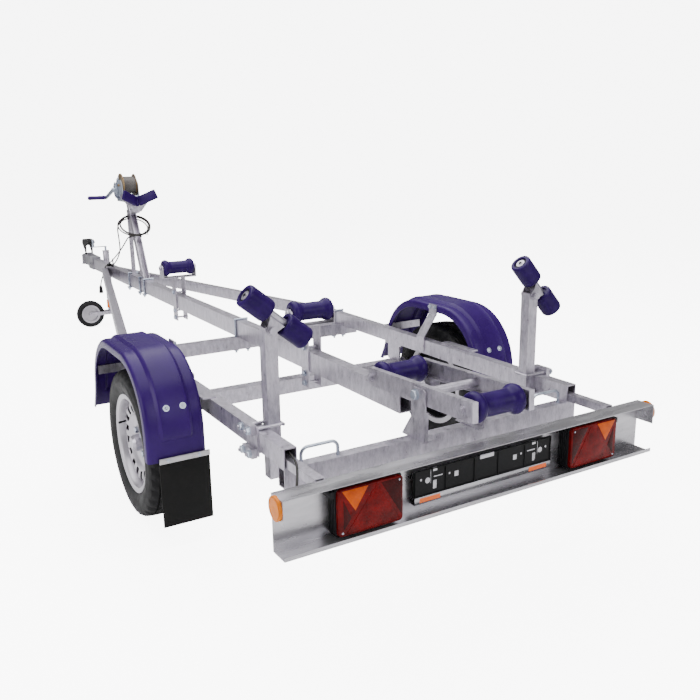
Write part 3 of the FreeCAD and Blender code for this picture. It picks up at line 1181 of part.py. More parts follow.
LEAD_RISE = [(3030, 12, 526), (2940, 15, 557), (2830, 20, 602), (2716, 29, 664), (2640, 48, 720),
             (2572, 68, 777), (2534, 81, 817),
             (2506, 85.5, 850), (2490, 72, 879), (2488, 46, 902), coil_point(12)]
LEAD_FALL = [coil_point(188), (2338, 14, 799), (2354, 41.3, 794), (2381, 56, 785), (2438, 51, 767),
             (2542, 46.8, 721), (2646, 43.8, 678),
             (2750, 41.6, 638), (2854, 40, 600), (2958, 38.6, 565), (3060, 37.4, 533), (3150, 37,
                                                                                        508), (3206, 37.4,
                                                                                               464),
             (3264, 37.8, 413), (3318, 38.2, 371), (3346, 38.2, 336)]
cord("lead_rise", LEAD_RISE, SIZES["lead_width"])
coil = doc.addObject("Part::Torus", "LeadCoil")
bind(coil, "Radius1", "lead_coil_radius")
bind(coil, "Radius2", "lead_coil_width")
keep("lead_coil", place(coil, "lead_coil_x", "0", "lead_coil_z",
                        Turn(Vec(0, 1, 0), -SIZES["lead_coil_tilt"])))
cord("lead_fall", LEAD_FALL, SIZES["lead_width"])
plug = turned("LeadPlug", [("0", "0"), ("plug_radius - 2", "0"), ("plug_radius", "3"),
                           ("plug_radius", "22"), ("plug_radius - 2", "24"),
                           ("plug_radius - 2", "44"), ("7", "plug_length"), ("0", "plug_length")],
              str(LEAD_FALL[-1][0]), str(LEAD_FALL[-1][1]), f"{LEAD_FALL[-1][2]} + 6 - plug_length", Turn(Vec(1, 0, 0), 90))
keep("lead_plug", plug)
rise_boot = turned("RiseBoot", [("0", "0"), ("gland_radius + 2", "0"), ("gland_radius", "5"),
                                ("5.5", "16"), ("0", "16")],
                   str(LEAD_RISE[0][0] + 4), str(LEAD_RISE[0][1]), KEEL_TOP, Turn(Vec(1, 0, 0), 90))
fall_clip = box("FallClip", "3050", "12", KEEL_TOP, "14", "32", "20")
SHORT_LEAD = [(-880, 541, 485), (-931, 547, 482), (-976, 565, 472), (-1011, 585, 449), (-1034, 601, 422),
              (-1048, 609, 398)]
cord("board_lead", SHORT_LEAD, SIZES["short_lead_width"])
board_gland = rod("BoardGland", "x", "gland_radius", "9", "-board_x", str(SHORT_LEAD[-1][1]),
                  str(SHORT_LEAD[-1][2] + 3))
keep("lead_glands", group("LeadGlands", rise_boot, fall_clip, board_gland))
doc.recompute()
os.makedirs("parts", exist_ok=True)
broken = [thing.Name for thing in doc.Objects if {"Invalid", "Error"} & set(thing.State)]
if broken:
    raise SystemExit(f"failed objects: {broken}")
for name, thing in NODES.items():
    if thing.Shape.isNull() or not thing.Shape.isValid() or not thing.Shape.Solids:
        raise SystemExit(f"bad shape: {name}")
for name, thing in NODES.items():
    thing.Shape.exportStep(f"parts/{name}.step")
whole = Part.makeCompound([thing.Shape for thing in NODES.values()])
print(len(NODES), "nodes", whole.BoundBox)
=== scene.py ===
# %% [markdown]
# A boat trailer of galvanised tube stands on its jack in a plain studio. The rigid pieces come ready made, in
# metres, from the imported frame. What is left for this script is how they look: the spangle of the zinc, the
# moulded plastic, the tread of the tyres, the lead on the winch post and the small fasteners.

# %% Load the frame
import bmesh
import bpy
import json
import math
from mathutils import Matrix, Vector


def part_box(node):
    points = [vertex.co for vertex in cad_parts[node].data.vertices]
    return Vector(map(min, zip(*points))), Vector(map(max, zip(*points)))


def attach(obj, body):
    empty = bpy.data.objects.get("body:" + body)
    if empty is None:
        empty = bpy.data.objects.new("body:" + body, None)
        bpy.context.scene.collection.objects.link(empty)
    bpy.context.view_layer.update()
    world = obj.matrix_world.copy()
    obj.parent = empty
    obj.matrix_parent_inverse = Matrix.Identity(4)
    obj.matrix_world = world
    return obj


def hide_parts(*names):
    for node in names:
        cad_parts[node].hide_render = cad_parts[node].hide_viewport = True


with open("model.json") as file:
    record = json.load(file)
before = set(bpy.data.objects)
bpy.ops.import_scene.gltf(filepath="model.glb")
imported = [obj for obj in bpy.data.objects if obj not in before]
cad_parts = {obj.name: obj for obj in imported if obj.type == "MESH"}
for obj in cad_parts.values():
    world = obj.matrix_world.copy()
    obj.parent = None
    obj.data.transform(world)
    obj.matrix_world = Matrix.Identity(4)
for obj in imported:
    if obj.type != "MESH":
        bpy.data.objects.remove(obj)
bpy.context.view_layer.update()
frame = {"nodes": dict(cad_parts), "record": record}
NODES = frame["nodes"]
AXLE_X = -1.4
SIDES = (("left", 1), ("right", -1))
scene = bpy.context.scene


def at(x, y, z):
    """A point in metres ahead of the wheel axle, left of the middle and above the ground."""
    return Vector((AXLE_X + x, y, z))


def new_object(name, data, material=None):
    """Puts a mesh, a curve, a light or a camera into the scene."""
    thing = bpy.data.objects.new(name, data)
    scene.collection.objects.link(thing)
    if material:
        data.materials.append(material)
    return thing


print("frame of", len(NODES), "nodes")

# %% [markdown]
# The view was found by matching straight tubes of the trailer to a picture of it. A camera could follow a target,
# but its yaw, pitch and roll are known here, so its matrix is put together from them.

# %% View
SENSOR, LENS = 36, 39.78
VIEW_SPOT = at(-2.6914, 1.4217, 1.2769)
YAW, PITCH, ROLL = (math.radians(degrees) for degrees in (30.85, 14.08, -0.88))


def camera_turn(yaw, pitch, roll):
    """The turn of a camera: yaw to the right of straight ahead, pitch downwards and roll."""
    ahead = Vector((math.cos(pitch) * math.cos(yaw), -math.cos(pitch) * math.sin(yaw), -math.sin(pitch)))
    side = Vector((-math.sin(yaw), -math.cos(yaw), 0))
    above = side.cross(ahead)
    right = math.cos(roll) * side + math.sin(roll) * above
    up = -math.sin(roll) * side + math.cos(roll) * above
    return Matrix((right, up, -ahead)).transposed().to_4x4()


camera = new_object("view", bpy.data.cameras.new("view"))
camera.data.sensor_width = SENSOR
camera.data.lens = LENS
camera.matrix_world = Matrix.Translation(VIEW_SPOT) @ camera_turn(YAW, PITCH, ROLL)
scene.camera = camera
print("camera at", tuple(round(v, 3) for v in camera.location))

# %% [markdown]
# A pattern is a node group that turns a place on the surface into a mask and a height. One group can serve several
# materials, each with its own colours. Small helpers make the nodes, so a pattern reads like a recipe.


# %% Helpers for shader nodes
def fill(tree, node, inputs):
    """Fills a node's inputs: a plain value is set, and another node's output is linked."""
    for name, value in inputs.items():
        if isinstance(value, bpy.types.NodeSocket):
            tree.links.new(value, node.inputs[name])
        else:
            node.inputs[name].default_value = value
    return node


def new_node(tree, kind, inputs):
    return fill(tree, tree.nodes.new(f"ShaderNode{kind}"), inputs)


def noise(tree, place, scale, detail=4.0, roughness=0.55):
    inputs = {"Vector": place, "Scale": scale, "Detail": detail, "Roughness": roughness}
    return new_node(tree, "TexNoise", inputs).outputs["Fac"]


def cells(tree, place, scale, output="Color"):
    return new_node(tree, "TexVoronoi", {"Vector": place, "Scale": scale}).outputs[output]


def stretched(tree, value, low, high):
    """Spreads the values between low and high over nought to one."""
    return new_node(tree, "MapRange", {"Value": value, "From Min": low, "From Max": high}).outputs["Result"]


def math_node(tree, kind, first, second):
    """A sum, a product or the like of two numbers, each a plain value or another node's output."""
    node = new_node(tree, "Math", {0: first, 1: second})
    node.operation = kind
    return node.outputs[0]


print("node helpers ready")

# %% [markdown]
# Hot zinc sets in crystals, drawn metal keeps fine lines, and moulded plastic keeps the grain of its mould. Each
# function below is one such surface, and returns where it is light and how high it stands.


# %% Shader patterns
def spangle(tree, place):
    """Crystals a few millimetres wide under a slow mottle."""
    crystals = math_node(tree, "MULTIPLY", cells(tree, place, 95), 0.28)
    clouds = noise(tree, place, 17, detail=7, roughness=0.65)
    mottle = math_node(tree, "MULTIPLY", stretched(tree, clouds, 0.30, 0.70), 0.72)
    return math_node(tree, "ADD", crystals, mottle), noise(tree, place, 160, 3)


def drawn(tree, place):
    """Fine lines left by drawing or brushing; a material stretches them along one way."""
    return stretched(tree, noise(tree, place, 6, 6), 0.3, 0.7), noise(tree, place, 40, 4)


def moulded(tree, place):
    """The fine leather grain of a plastic mould, under a faint clouding."""
    return stretched(tree, noise(tree, place, 4, 3), 0.3, 0.7), cells(tree, place, 900, "Distance")


def rubbery(tree, place):
    """Dull rubber with a bloom of dust."""
    return stretched(tree, noise(tree, place, 22, 6, 0.7), 0.45, 0.75), noise(tree, place, 420, 3)


def cast(tree, place):
    """A sand casting's skin."""
    return stretched(tree, noise(tree, place, 18, 5), 0.35, 0.7), noise(tree, place, 260, 5, 0.7)


def prisms(tree, place):
    """The small square prisms on the back of a lens, with slopes two millimetres long."""
    slope = 0.002
    parts = new_node(tree, "SeparateXYZ", {0: place})
    ridges = [math_node(tree, "PINGPONG", parts.outputs[axis], slope) for axis in ("Y", "Z")]
    height = math_node(tree, "MULTIPLY", math_node(tree, "ADD", *ridges), 1 / (2 * slope))
    return stretched(tree, noise(tree, place, 30, 3), 0.3, 0.7), height


def new_pattern(build):
    """Wraps one of the functions above in a node group with named sockets."""
    tree = bpy.data.node_groups.new(build.__name__, "ShaderNodeTree")
    tree.interface.new_socket("Vector", in_out="INPUT", socket_type="NodeSocketVector")
    for output in ("Mask", "Height"):
        tree.interface.new_socket(output, in_out="OUTPUT", socket_type="NodeSocketFloat")
    start, end = tree.nodes.new("NodeGroupInput"), tree.nodes.new("NodeGroupOutput")
    mask, height = build(tree, start.outputs["Vector"])
    fill(tree, end, {"Mask": mask, "Height": height})
    return tree


PATTERNS = {build.__name__: new_pattern(build) for build in (spangle, drawn, moulded, rubbery, cast, prisms)}
print("patterns", ", ".join(PATTERNS))

# %% [markdown]
# A material mixes two colours and two roughnesses by its pattern's mask, and bumps the surface by its height. Object
# coordinates keep the pattern in place when a wheel turns, and stretching them draws spots out into streaks.


# %% How a material is made
def finish(name, pattern, dark, light, rough, metallic=0.0, bump=0.2, coat=0.0, stretch=(1, 1, 1), shine=0.25):
    """A material whose colour and roughness run between two values by a pattern's mask."""
    material = bpy.data.materials.new(name)
    material.use_nodes = True
    tree = material.node_tree
    place = new_node(tree, "TexCoord", {}).outputs["Object"]
    turn = new_node(tree, "Mapping", {"Vector": place, "Scale": stretch})
    group = tree.nodes.new("ShaderNodeGroup")
    group.node_tree = PATTERNS[pattern]
    fill(tree, group, {"Vector": turn.outputs["Vector"]})
    mask, height = group.outputs["Mask"], group.outputs["Height"]
    mix = tree.nodes.new("ShaderNodeMix")
    mix.data_type = "RGBA"
    # For colours this node takes its factor at socket 0 and its colours at 6 and 7, and gives its result at 2.
    fill(tree, mix, {0: mask, 6: (*dark, 1), 7: (*light, 1)})
    spread = new_node(tree, "MapRange", {"Value": mask, "To Min": rough[0], "To Max": rough[1]})
    relief = new_node(tree, "Bump", {"Strength": bump, "Distance": 0.001, "Height": height})
    fill(tree, tree.nodes["Principled BSDF"], {
        "Base Color": mix.outputs[2], "Metallic": metallic, "Roughness": spread.outputs["Result"],
        "Normal": relief.outputs["Normal"], "Specular IOR Level": shine, "Coat Weight": coat, "Coat Roughness": 0.12})
    return material


print("patterns to choose from", len(PATTERNS))

# %% [markdown]
# One row of the table is one finish: its pattern, its darkest and lightest colour, its least and greatest roughness,
# and what sets it apart. Every solid gets the finish of its slot, apart from a few that have their own look.

# %% Materials
CLEAR_LENS = dict(bump=0.5, shine=0.10)
FINISHES = {
    "galvanised": ("spangle", (0.25, 0.235, 0.275), (0.56, 0.53, 0.60), (0.24, 0.46),
                   dict(metallic=0.85, stretch=(3.2, 3.2, 1.3))),
    "zinc": ("drawn", (0.24, 0.27, 0.34), (0.50, 0.54, 0.62), (0.22, 0.42),
             dict(metallic=0.8, bump=0.1, stretch=(1, 3, 3))),
    "rim_silver": ("moulded", (0.30, 0.285, 0.32), (0.46, 0.44, 0.48), (0.30, 0.42),
                   dict(metallic=0.6, bump=0.05, coat=0.3)),
    "tyre": ("rubbery", (0.006, 0.006, 0.007), (0.014, 0.0135, 0.014), (0.5, 0.75), dict(bump=0.25, shine=0.15)),
    "roller_rubber": ("rubbery", (0.0125, 0.0026, 0.050), (0.0205, 0.0050, 0.078), (0.30, 0.46),
                      dict(bump=0.08, shine=0.10)),
    "guard_plastic": ("moulded", (0.0165, 0.0034, 0.060), (0.0240, 0.0054, 0.086), (0.26, 0.36),
                      dict(bump=0.10, shine=0.12)),
    "flap_rubber": ("rubbery", (0.004, 0.004, 0.004), (0.009, 0.0085, 0.008), (0.5, 0.75), dict(shine=0.12)),
    "strip_aluminium": ("drawn", (0.34, 0.33, 0.34), (0.50, 0.49, 0.50), (0.25, 0.4),
                        dict(metallic=0.8, bump=0.1, stretch=(3, 1, 3))),
    "winch_plate": ("drawn", (0.12, 0.075, 0.04), (0.34, 0.24, 0.13), (0.25, 0.45), dict(metallic=0.75, bump=0.1)),
    "lamp": ("moulded", (0.008, 0.008, 0.009), (0.020, 0.020, 0.022), (0.35, 0.5), dict(shine=0.12)),
    "lens": ("prisms", (0.40, 0.095, 0.0005), (0.60, 0.165, 0.001), (0.14, 0.24), dict(bump=0.5, shine=0.12)),
    "board_metal": ("drawn", (0.25, 0.243, 0.262), (0.52, 0.51, 0.54), (0.20, 0.36),
                    dict(metallic=0.85, bump=0.1, stretch=(3, 0.6, 3))),
    "holder_plastic": ("moulded", (0.003, 0.003, 0.0035), (0.009, 0.009, 0.010), (0.4, 0.55), dict(shine=0.12)),
    "coupling_cast": ("cast", (0.17, 0.165, 0.185), (0.36, 0.35, 0.39), (0.35, 0.55), dict(metallic=0.6, bump=0.3)),
    "black_plastic": ("moulded", (0.004, 0.004, 0.0045), (0.011, 0.011, 0.012), (0.35, 0.5), dict(shine=0.12)),
    "cable_black": ("rubbery", (0.012, 0.011, 0.010), (0.034, 0.032, 0.030), (0.4, 0.6), dict(bump=0.1)),
    "jack_orange": ("moulded", (0.55, 0.10, 0.01), (0.70, 0.15, 0.02), (0.35, 0.5), dict(bump=0.1)),
    "red_lens": ("prisms", (0.055, 0.0010, 0.0012), (0.13, 0.0024, 0.0026), (0.12, 0.20), CLEAR_LENS),
    "dark_lens": ("prisms", (0.020, 0.0006, 0.0007), (0.042, 0.0012, 0.0014), (0.12, 0.20), CLEAR_LENS),
    "amber_lens": ("prisms", (0.30, 0.038, 0.0005), (0.48, 0.072, 0.0010), (0.12, 0.20), CLEAR_LENS),
    "wire_rope": ("drawn", (0.045, 0.040, 0.038), (0.21, 0.195, 0.19), (0.35, 0.5),
                  dict(metallic=0.6, bump=0.5, stretch=(60, 60, 60))),
    "orange_film": ("moulded", (0.80, 0.12, 0.02), (0.90, 0.18, 0.04), (0.25, 0.35), dict(bump=0.03)),
    "studio_paper": ("cast", (0.86, 0.86, 0.86), (0.90, 0.90, 0.90), (0.8, 0.9), dict(bump=0.02)),
}
LOOKS = {name: finish(name, *row, **more) for name, (*row, more) in FINISHES.items()}
OWN_LOOK = {"coupling_handle": "black_plastic", "winch_drum": "winch_plate", "winch_frame": "zinc",
            "winch_grip": "guard_plastic"}
for entry in frame["record"]["subparts"]:
    node = NODES[entry["node"]]
    node.data.materials.clear()
    node.data.materials.append(LOOKS[OWN_LOOK.get(entry["node"], entry["material_slot"])])
print(len(LOOKS), "materials, put on", len(NODES), "nodes")

# %% [markdown]
# The studio is white paper that runs along the floor and bends up into a wall, so that no corner shows. It glows for
# the camera alone: it looks evenly white, and still throws no extra light on the metal.


# %% Studio floor
def only(kind, items):
    """The vertices or the edges among what an operator gives back."""
    return [item for item in items if isinstance(item, kind)]


def sweep(near, far, bend, half_width, top):
    """A floor that bends up into a wall on the far side from the camera."""
    surface = bmesh.new()
    curve = [(far + bend * math.sin(a), bend - bend * math.cos(a)) for a in (math.radians(15 * i) for i in range(1, 7))]
    path = [(near, 0), (far, 0)] + curve + [(far + bend, top)]
    spots = [surface.verts.new((along, -half_width, height)) for along, height in path]
    edges = [surface.edges.new(pair) for pair in zip(spots, spots[1:])]
    wide = bmesh.ops.extrude_edge_only(surface, edges=edges)["geom"]
    bmesh.ops.translate(surface, verts=only(bmesh.types.BMVert, wide), vec=(0, 2 * half_width, 0))
    bmesh.ops.rotate(surface, verts=surface.verts, cent=(0, 0, 0), matrix=Matrix.Rotation(-YAW, 3, "Z"))
    bmesh.ops.recalc_face_normals(surface, faces=surface.faces)
    mesh = bpy.data.meshes.new("floor")
    surface.to_mesh(mesh)
    mesh.shade_smooth()
    return mesh


PAPER_GLOW = 7
paper = LOOKS["studio_paper"].node_tree
seen = new_node(paper, "LightPath", {}).outputs["Is Camera Ray"]
glow = math_node(paper, "MULTIPLY", seen, PAPER_GLOW)
fill(paper, paper.nodes["Principled BSDF"], {"Emission Color": (1, 1, 1, 1), "Emission Strength": glow})
floor = new_object("studio_floor", sweep(near=-14, far=12, bend=4, half_width=22, top=16), LOOKS["studio_paper"])
print("floor of", len(floor.data.polygons), "faces")

# %% [markdown]
# Three large soft lights, above, on the left and behind, give each face of a square tube its own tone. The world
# adds a little light from everywhere, which keeps the shadows under the guards open.


# %% Studio lights
def soft_light(name, spot, target, size, power):
    lamp = bpy.data.lights.new(name, "AREA")
    lamp.shape = "RECTANGLE"
    lamp.size, lamp.size_y = size
    lamp.energy = power
    way = (Vector(target) - Vector(spot)).normalized()
    new_object(name, lamp).matrix_world = Matrix.Translation(spot) @ way.to_track_quat("-Z", "Y").to_matrix().to_4x4()


soft_light("overhead", spot=(0, 0, 5.0), target=(0, 0, 0), size=(8, 6), power=800)
soft_light("left_box", spot=(-2.5, 6.0, 2.6), target=(-0.5, 0, 0.4), size=(5, 3), power=330)
soft_light("rear_box", spot=(-6.5, -1.5, 2.8), target=(-1.5, 0, 0.4), size=(4, 3), power=170)
WORLD_LIGHT = 0.22
world = bpy.data.worlds.new("studio")
scene.world = world
world.use_nodes = True
fill(world.node_tree, world.node_tree.nodes["Background"], {"Color": (1, 1, 1, 1), "Strength": WORLD_LIGHT})
print("lights", len(bpy.data.lights))

# %% [markdown]
# Most pieces are made of a few plain forms: a profile spun round an axis, a flat outline pushed out, or a box with
# eased edges. Several can share one bmesh. The last step merges doubles, ties the piece to a body and gives it the
# finish of its slot, or its own look.


# %% Tools for the pieces
MERGE = 0.00002


def add_piece(name, shape, slot, body="frame", replaces=(), look=None, sharp=35):
    """Turns a finished bmesh into a piece that rides on a body."""
    bmesh.ops.remove_doubles(shape, verts=shape.verts, dist=MERGE)
    bmesh.ops.recalc_face_normals(shape, faces=shape.faces)
    mesh = bpy.data.meshes.new(name)
    shape.to_mesh(mesh)
    shape.free()
    mesh.shade_smooth()
    mesh.set_sharp_from_angle(angle=math.radians(sharp))
    piece = new_object(name, mesh, LOOKS[look or slot])
    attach(piece, body)
    if replaces:
        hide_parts(*replaces)


def lathe(shape, profile, centre, axis, steps, closed=False):
    """Spins (distance along the axis, radius) points round an axis."""
    axis = Vector(axis).normalized()
    side = axis.orthogonal().normalized()
    spots = [shape.verts.new(Vector(centre) + axis * along + side * radius) for along, radius in profile]
    pairs = list(zip(spots, spots[1:])) + ([(spots[-1], spots[0])] if closed else [])
    edges = [shape.edges.new(pair) for pair in pairs]
    bmesh.ops.spin(shape, geom=spots + edges, cent=centre, axis=axis, angle=2 * math.pi, steps=steps, use_merge=True)


def ring(low, high, inner, outer):
    """The profile of a flat ring, or of a disc where the inner radius is nought."""
    return [(low, inner), (low, outer), (high, outer), (high, inner)]


def prism(shape, corners, way):
    """A flat outline of points pushed out along a vector."""
    face = shape.faces.new([shape.verts.new(corner) for corner in corners])
    moved = bmesh.ops.extrude_face_region(shape, geom=[face])["geom"]
    bmesh.ops.translate(shape, verts=only(bmesh.types.BMVert, moved), vec=way)


def ease(shape, edges, width, steps):
    """Rounds edges off."""
    bmesh.ops.bevel(shape, geom=edges, offset=width, segments=steps, profile=0.5, affect="EDGES", material=-1)


def block(shape, low, high, soft=0.0):
    """A box between two corners, given in any order, with its edges eased."""
    pairs = list(zip(low, high))
    low, high = Vector([min(pair) for pair in pairs]), Vector([max(pair) for pair in pairs])
    spots = bmesh.ops.create_cube(shape, size=1)["verts"]
    bmesh.ops.scale(shape, verts=spots, vec=high - low)
    bmesh.ops.translate(shape, verts=spots, vec=(low + high) / 2)
    if soft:
        ease(shape, list({edge for spot in spots for edge in spot.link_edges}), soft, 2)


print("tools for spun, pushed out and boxed forms")

# %% [markdown]
# A nut is a six-sided rod with a small chamfer on top, and often a washer below. A rounded rectangle comes back on
# every part of the lamps.


# %% Tools for nuts and rounded outlines
WASHER_THICK = 0.0018


def rod(shape, spot, way, radius, tall, sides):
    """A straight rod that stands on a point."""
    place = Matrix.Translation(spot + way * tall / 2) @ way.to_track_quat("Z", "X").to_matrix().to_4x4()
    return bmesh.ops.create_cone(shape, cap_ends=True, segments=sides, radius1=radius, radius2=radius, depth=tall,
                                 matrix=place)["verts"]


def hexagon(shape, spot, way, across, tall, washer=0.0):
    """A hexagon head or nut that stands on a point, on a round washer."""
    base, way = Vector(spot), Vector(way).normalized()
    if washer:
        rod(shape, base, way, washer, WASHER_THICK, 20)
        base = base + way * WASHER_THICK
    made = rod(shape, base, way, across / math.sqrt(3), tall, 6)
    top = [v for v in made if (v.co - base).dot(way) > tall * 0.9]
    rim = [e for e in {edge for v in top for edge in v.link_edges} if all(v in top for v in e.verts)]
    ease(shape, rim, across * 0.06, 1)


def rounded_outline(low, high, radius, steps=5):
    """The corners of a rounded rectangle in a plane, as pairs."""
    points = []
    left, right, bottom, top = low[0] + radius, high[0] - radius, low[1] + radius, high[1] - radius
    for quarter, (a, b) in enumerate(((right, top), (left, top), (left, bottom), (right, bottom))):
        for i in range(steps + 1):
            angle = math.radians(90 * quarter + 90 * i / steps)
            points.append((a + radius * math.cos(angle), b + radius * math.sin(angle)))
    return points


print("a rounded square has", len(rounded_outline((0, 0), (1, 1), 0.1)), "points")

# %% [markdown]
# The lead comes out of the keel, climbs to the winch post, goes round it in a loose coil and drops to its plug. The
# coil could be a helix, but a lead wound by hand isn't that even. Its points wander a little from turn to turn.

# %% Turns of the coil
COIL = Vector((2.4182, 0, 0.855))
COIL_RADIUS, COIL_TILT = 0.097, math.radians(35)
COIL_SPREAD, COIL_LIFT = 0.0135, 0.009
TURN_STEP, COIL_START, TIE_ANGLE = 30, 12, 188
COIL_END = TIE_ANGLE - 4 * 360


def coil_point(angle, wider=0.0, above=0.0):
    """A point of the coil, its angle counted from the high front side toward the left."""
    turn = math.radians(angle)
    ahead = (COIL_RADIUS + wider) * math.cos(turn)
    return at(COIL.x + ahead * math.cos(COIL_TILT) - above * math.sin(COIL_TILT),
              (COIL_RADIUS + wider) * math.sin(turn),
              COIL.z + ahead * math.sin(COIL_TILT) + above * math.cos(COIL_TILT))


def coil_turns():
    """The turns lie beside each other, loosest at the front and gathered in the tie at the back."""
    points = []
    count = round((COIL_START - COIL_END) / TURN_STEP)
    for i in range(count + 1):
        along = i / count
        angle = COIL_START - i * (COIL_START - COIL_END) / count
        loose = 0.2 + 0.8 * abs(math.sin(math.radians(angle - TIE_ANGLE) / 2))
        wider = COIL_SPREAD * loose * math.cos(2.7 * math.pi * along)
        above = COIL_LIFT * loose * math.sin(4.4 * math.pi * along)
        points.append(coil_point(angle, wider, above))
    return points


print("coil of", len(coil_turns()), "points")

# %% [markdown]
# A cord is a curve with a round section. Its route has few points, and a smooth spline close by them has the easy
# bends of a real lead. A second, short lead joins the rail to the light board.

# %% Leads
LEAD_WIDTH = 0.009
RISE = [(3.03, 0.012, 0.526), (2.94, 0.015, 0.557), (2.83, 0.02, 0.602), (2.716, 0.029, 0.664),
        (2.64, 0.048, 0.72), (2.572, 0.068, 0.777), (2.534, 0.081, 0.817), (2.506, 0.0855, 0.85),
        (2.49, 0.072, 0.879), (2.488, 0.046, 0.902)]
FALL = [(2.338, 0.014, 0.799), (2.354, 0.0413, 0.794), (2.381, 0.056, 0.785), (2.438, 0.051, 0.767),
        (2.542, 0.0468, 0.721), (2.646, 0.0438, 0.678), (2.75, 0.0416, 0.638), (2.854, 0.04, 0.6),
        (2.958, 0.0386, 0.565), (3.06, 0.0374, 0.533), (3.15, 0.037, 0.508), (3.206, 0.0374, 0.464),
        (3.264, 0.0378, 0.413), (3.318, 0.0382, 0.371), (3.346, 0.0382, 0.336)]
SHORT = [(-0.88, 0.541, 0.485), (-0.931, 0.547, 0.482), (-0.976, 0.565, 0.472), (-1.011, 0.585, 0.449),
         (-1.034, 0.601, 0.422), (-1.048, 0.609, 0.398)]


def cord_curve(name, points, width):
    """A smooth cord that rides on the frame. The order of the spline is set after its points, or it stays straight."""
    curve = bpy.data.curves.new(name, "CURVE")
    curve.dimensions = "3D"
    spline = curve.splines.new("NURBS")
    spline.points.add(len(points) - 1)
    for spot, point in zip(spline.points, points):
        spot.co = (*point, 1)
    spline.order_u = 3
    spline.use_endpoint_u = True
    spline.resolution_u = 6
    curve.bevel_depth = width / 2
    curve.bevel_resolution = 3
    curve.use_fill_caps = True
    cord = new_object(name, curve, LOOKS["cable_black"])
    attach(cord, "frame")
    return cord


lead_route = [at(*p) for p in RISE] + coil_turns() + [at(*p) for p in FALL]
lead = cord_curve("trailer_lead", lead_route, LEAD_WIDTH)
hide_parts("lead_rise", "lead_coil", "lead_fall")
short_lead = cord_curve("board_cable", [at(*p) for p in SHORT], 0.007)
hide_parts("board_lead")
print("lead of", len(lead_route), "points, short lead of", len(SHORT))

# %% [markdown]
# Two nylon ties hold the coil together at the back. Each is a flat band, spun round the way that the turns take
# there, with a small square lock.

# %% Cable ties
TIE_RADIUS, TIE_HALF, TIE_THICK, LOCK_OUT, LOCK_HALF = 0.0125, 0.0022, 0.0013, 0.002, 0.003


def cable_tie(shape, centre, axis):
    """A flat nylon band with its small square lock."""
    lathe(shape, ring(-TIE_HALF, TIE_HALF, TIE_RADIUS, TIE_RADIUS + TIE_THICK), centre, axis, 24, closed=True)
    lock = centre + axis.normalized().orthogonal().normalized() * (TIE_RADIUS + LOCK_OUT)
    half = Vector((LOCK_HALF, LOCK_HALF, LOCK_HALF))
    block(shape, lock - half, lock + half, 0.0008)


ties = bmesh.new()
TIE_ANGLES = (TIE_ANGLE, 215)
for angle in TIE_ANGLES:
    cable_tie(ties, coil_point(angle), coil_point(angle + 4) - coil_point(angle - 4))
add_piece("cable_ties", ties, "black_plastic")
print("cable ties", len(TIE_ANGLES))

# %% [markdown]
# A road tyre is one profile spun round the axle, and the profile holds the grooves that run round the tread. The
# notches across it could be cut out with boxes, but lowering some steps of the finished ring is cleaner.

# %% Tyres
WHEEL_Y, TYRE_RADIUS, TYRE_STEPS = 0.687, 0.273, 180
HALF_TYRE = [(0.058, 0.1655), (0.0625, 0.18), (0.0665, 0.19), (0.0745, 0.205), (0.0775, 0.222), (0.0775, 0.232),
             (0.0765, 0.234), (0.0758, 0.243), (0.0735, 0.252), (0.069, 0.262), (0.06, 0.2685), (0.05, 0.2708),
             (0.045, 0.2715), (0.0445, 0.2645), (0.039, 0.2645), (0.0385, 0.2722), (0.02, 0.273),
             (0.0195, 0.2655), (0.014, 0.2655), (0.0135, 0.273)]
TYRE_PROFILE = [(-a, r) for a, r in HALF_TYRE] + [(0.0, TYRE_RADIUS)] + HALF_TYRE[::-1]


def around(spot, centre, steps):
    """How far a place is from the axle, and its angle round the axle, counted in steps."""
    away = spot - centre
    return math.hypot(away.x, away.z), math.atan2(away.z, away.x) / (2 * math.pi) * steps


def notch_depth(across, radius, step, stagger):
    """How far the tread is lowered: at two steps in five on the shoulder, one in six or eight further in."""
    if across > 0.046 and radius > 0.262 and step % 5 in (0, 1):
        return 0.0045
    if 0.019 < across < 0.04 and radius > 0.27 and (step + stagger) % 6 == 0:
        return 0.004
    return 0.003 if across < 0.0136 and radius > 0.27 and step % 8 == 0 else 0.0


def notch_tread(shape, centre):
    """Cuts the tread into blocks, those of the ribs staggered from one side to the other."""
    for spot in shape.verts:
        away = spot.co - centre
        radius, turn = around(spot.co, centre, TYRE_STEPS)
        deep = notch_depth(abs(away.y), radius, round(turn) % TYRE_STEPS, 3 if away.y > 0 else 0)
        if deep:
            keep = 1 - deep / radius
            spot.co = centre + Vector((away.x * keep, away.y, away.z * keep))


for side, sign in SIDES:
    centre = at(0, sign * WHEEL_Y, TYRE_RADIUS)
    tyre = bmesh.new()
    lathe(tyre, TYRE_PROFILE, centre, (0, 1, 0), TYRE_STEPS, closed=True)
    bmesh.ops.remove_doubles(tyre, verts=tyre.verts, dist=MERGE)
    notch_tread(tyre, centre)
    add_piece(f"road_tyre_{side}", tyre, "tyre", f"wheel_{side}", [f"tyre_{side}"], sharp=28)
print("tyres with", TYRE_STEPS, "steps")

# %% [markdown]
# The valve of each wheel is a short rubber stem with a cap. It is spun too, round a slanted axis.

# %% Valves
VALVE = [(0, 0.0055), (0.004, 0.0055), (0.006, 0.0038), (0.026, 0.0034), (0.0262, 0.0044), (0.036, 0.0044),
         (0.0375, 0.003), (0.0375, 0.0)]
for side, sign in SIDES:
    valve = bmesh.new()
    lathe(valve, VALVE, at(0.128, sign * (WHEEL_Y + 0.036), TYRE_RADIUS + 0.046), (-0.25, sign, 0), 16)
    add_piece(f"valve_{side}", valve, "black_plastic", f"wheel_{side}")
print("valve stems", len(SIDES))

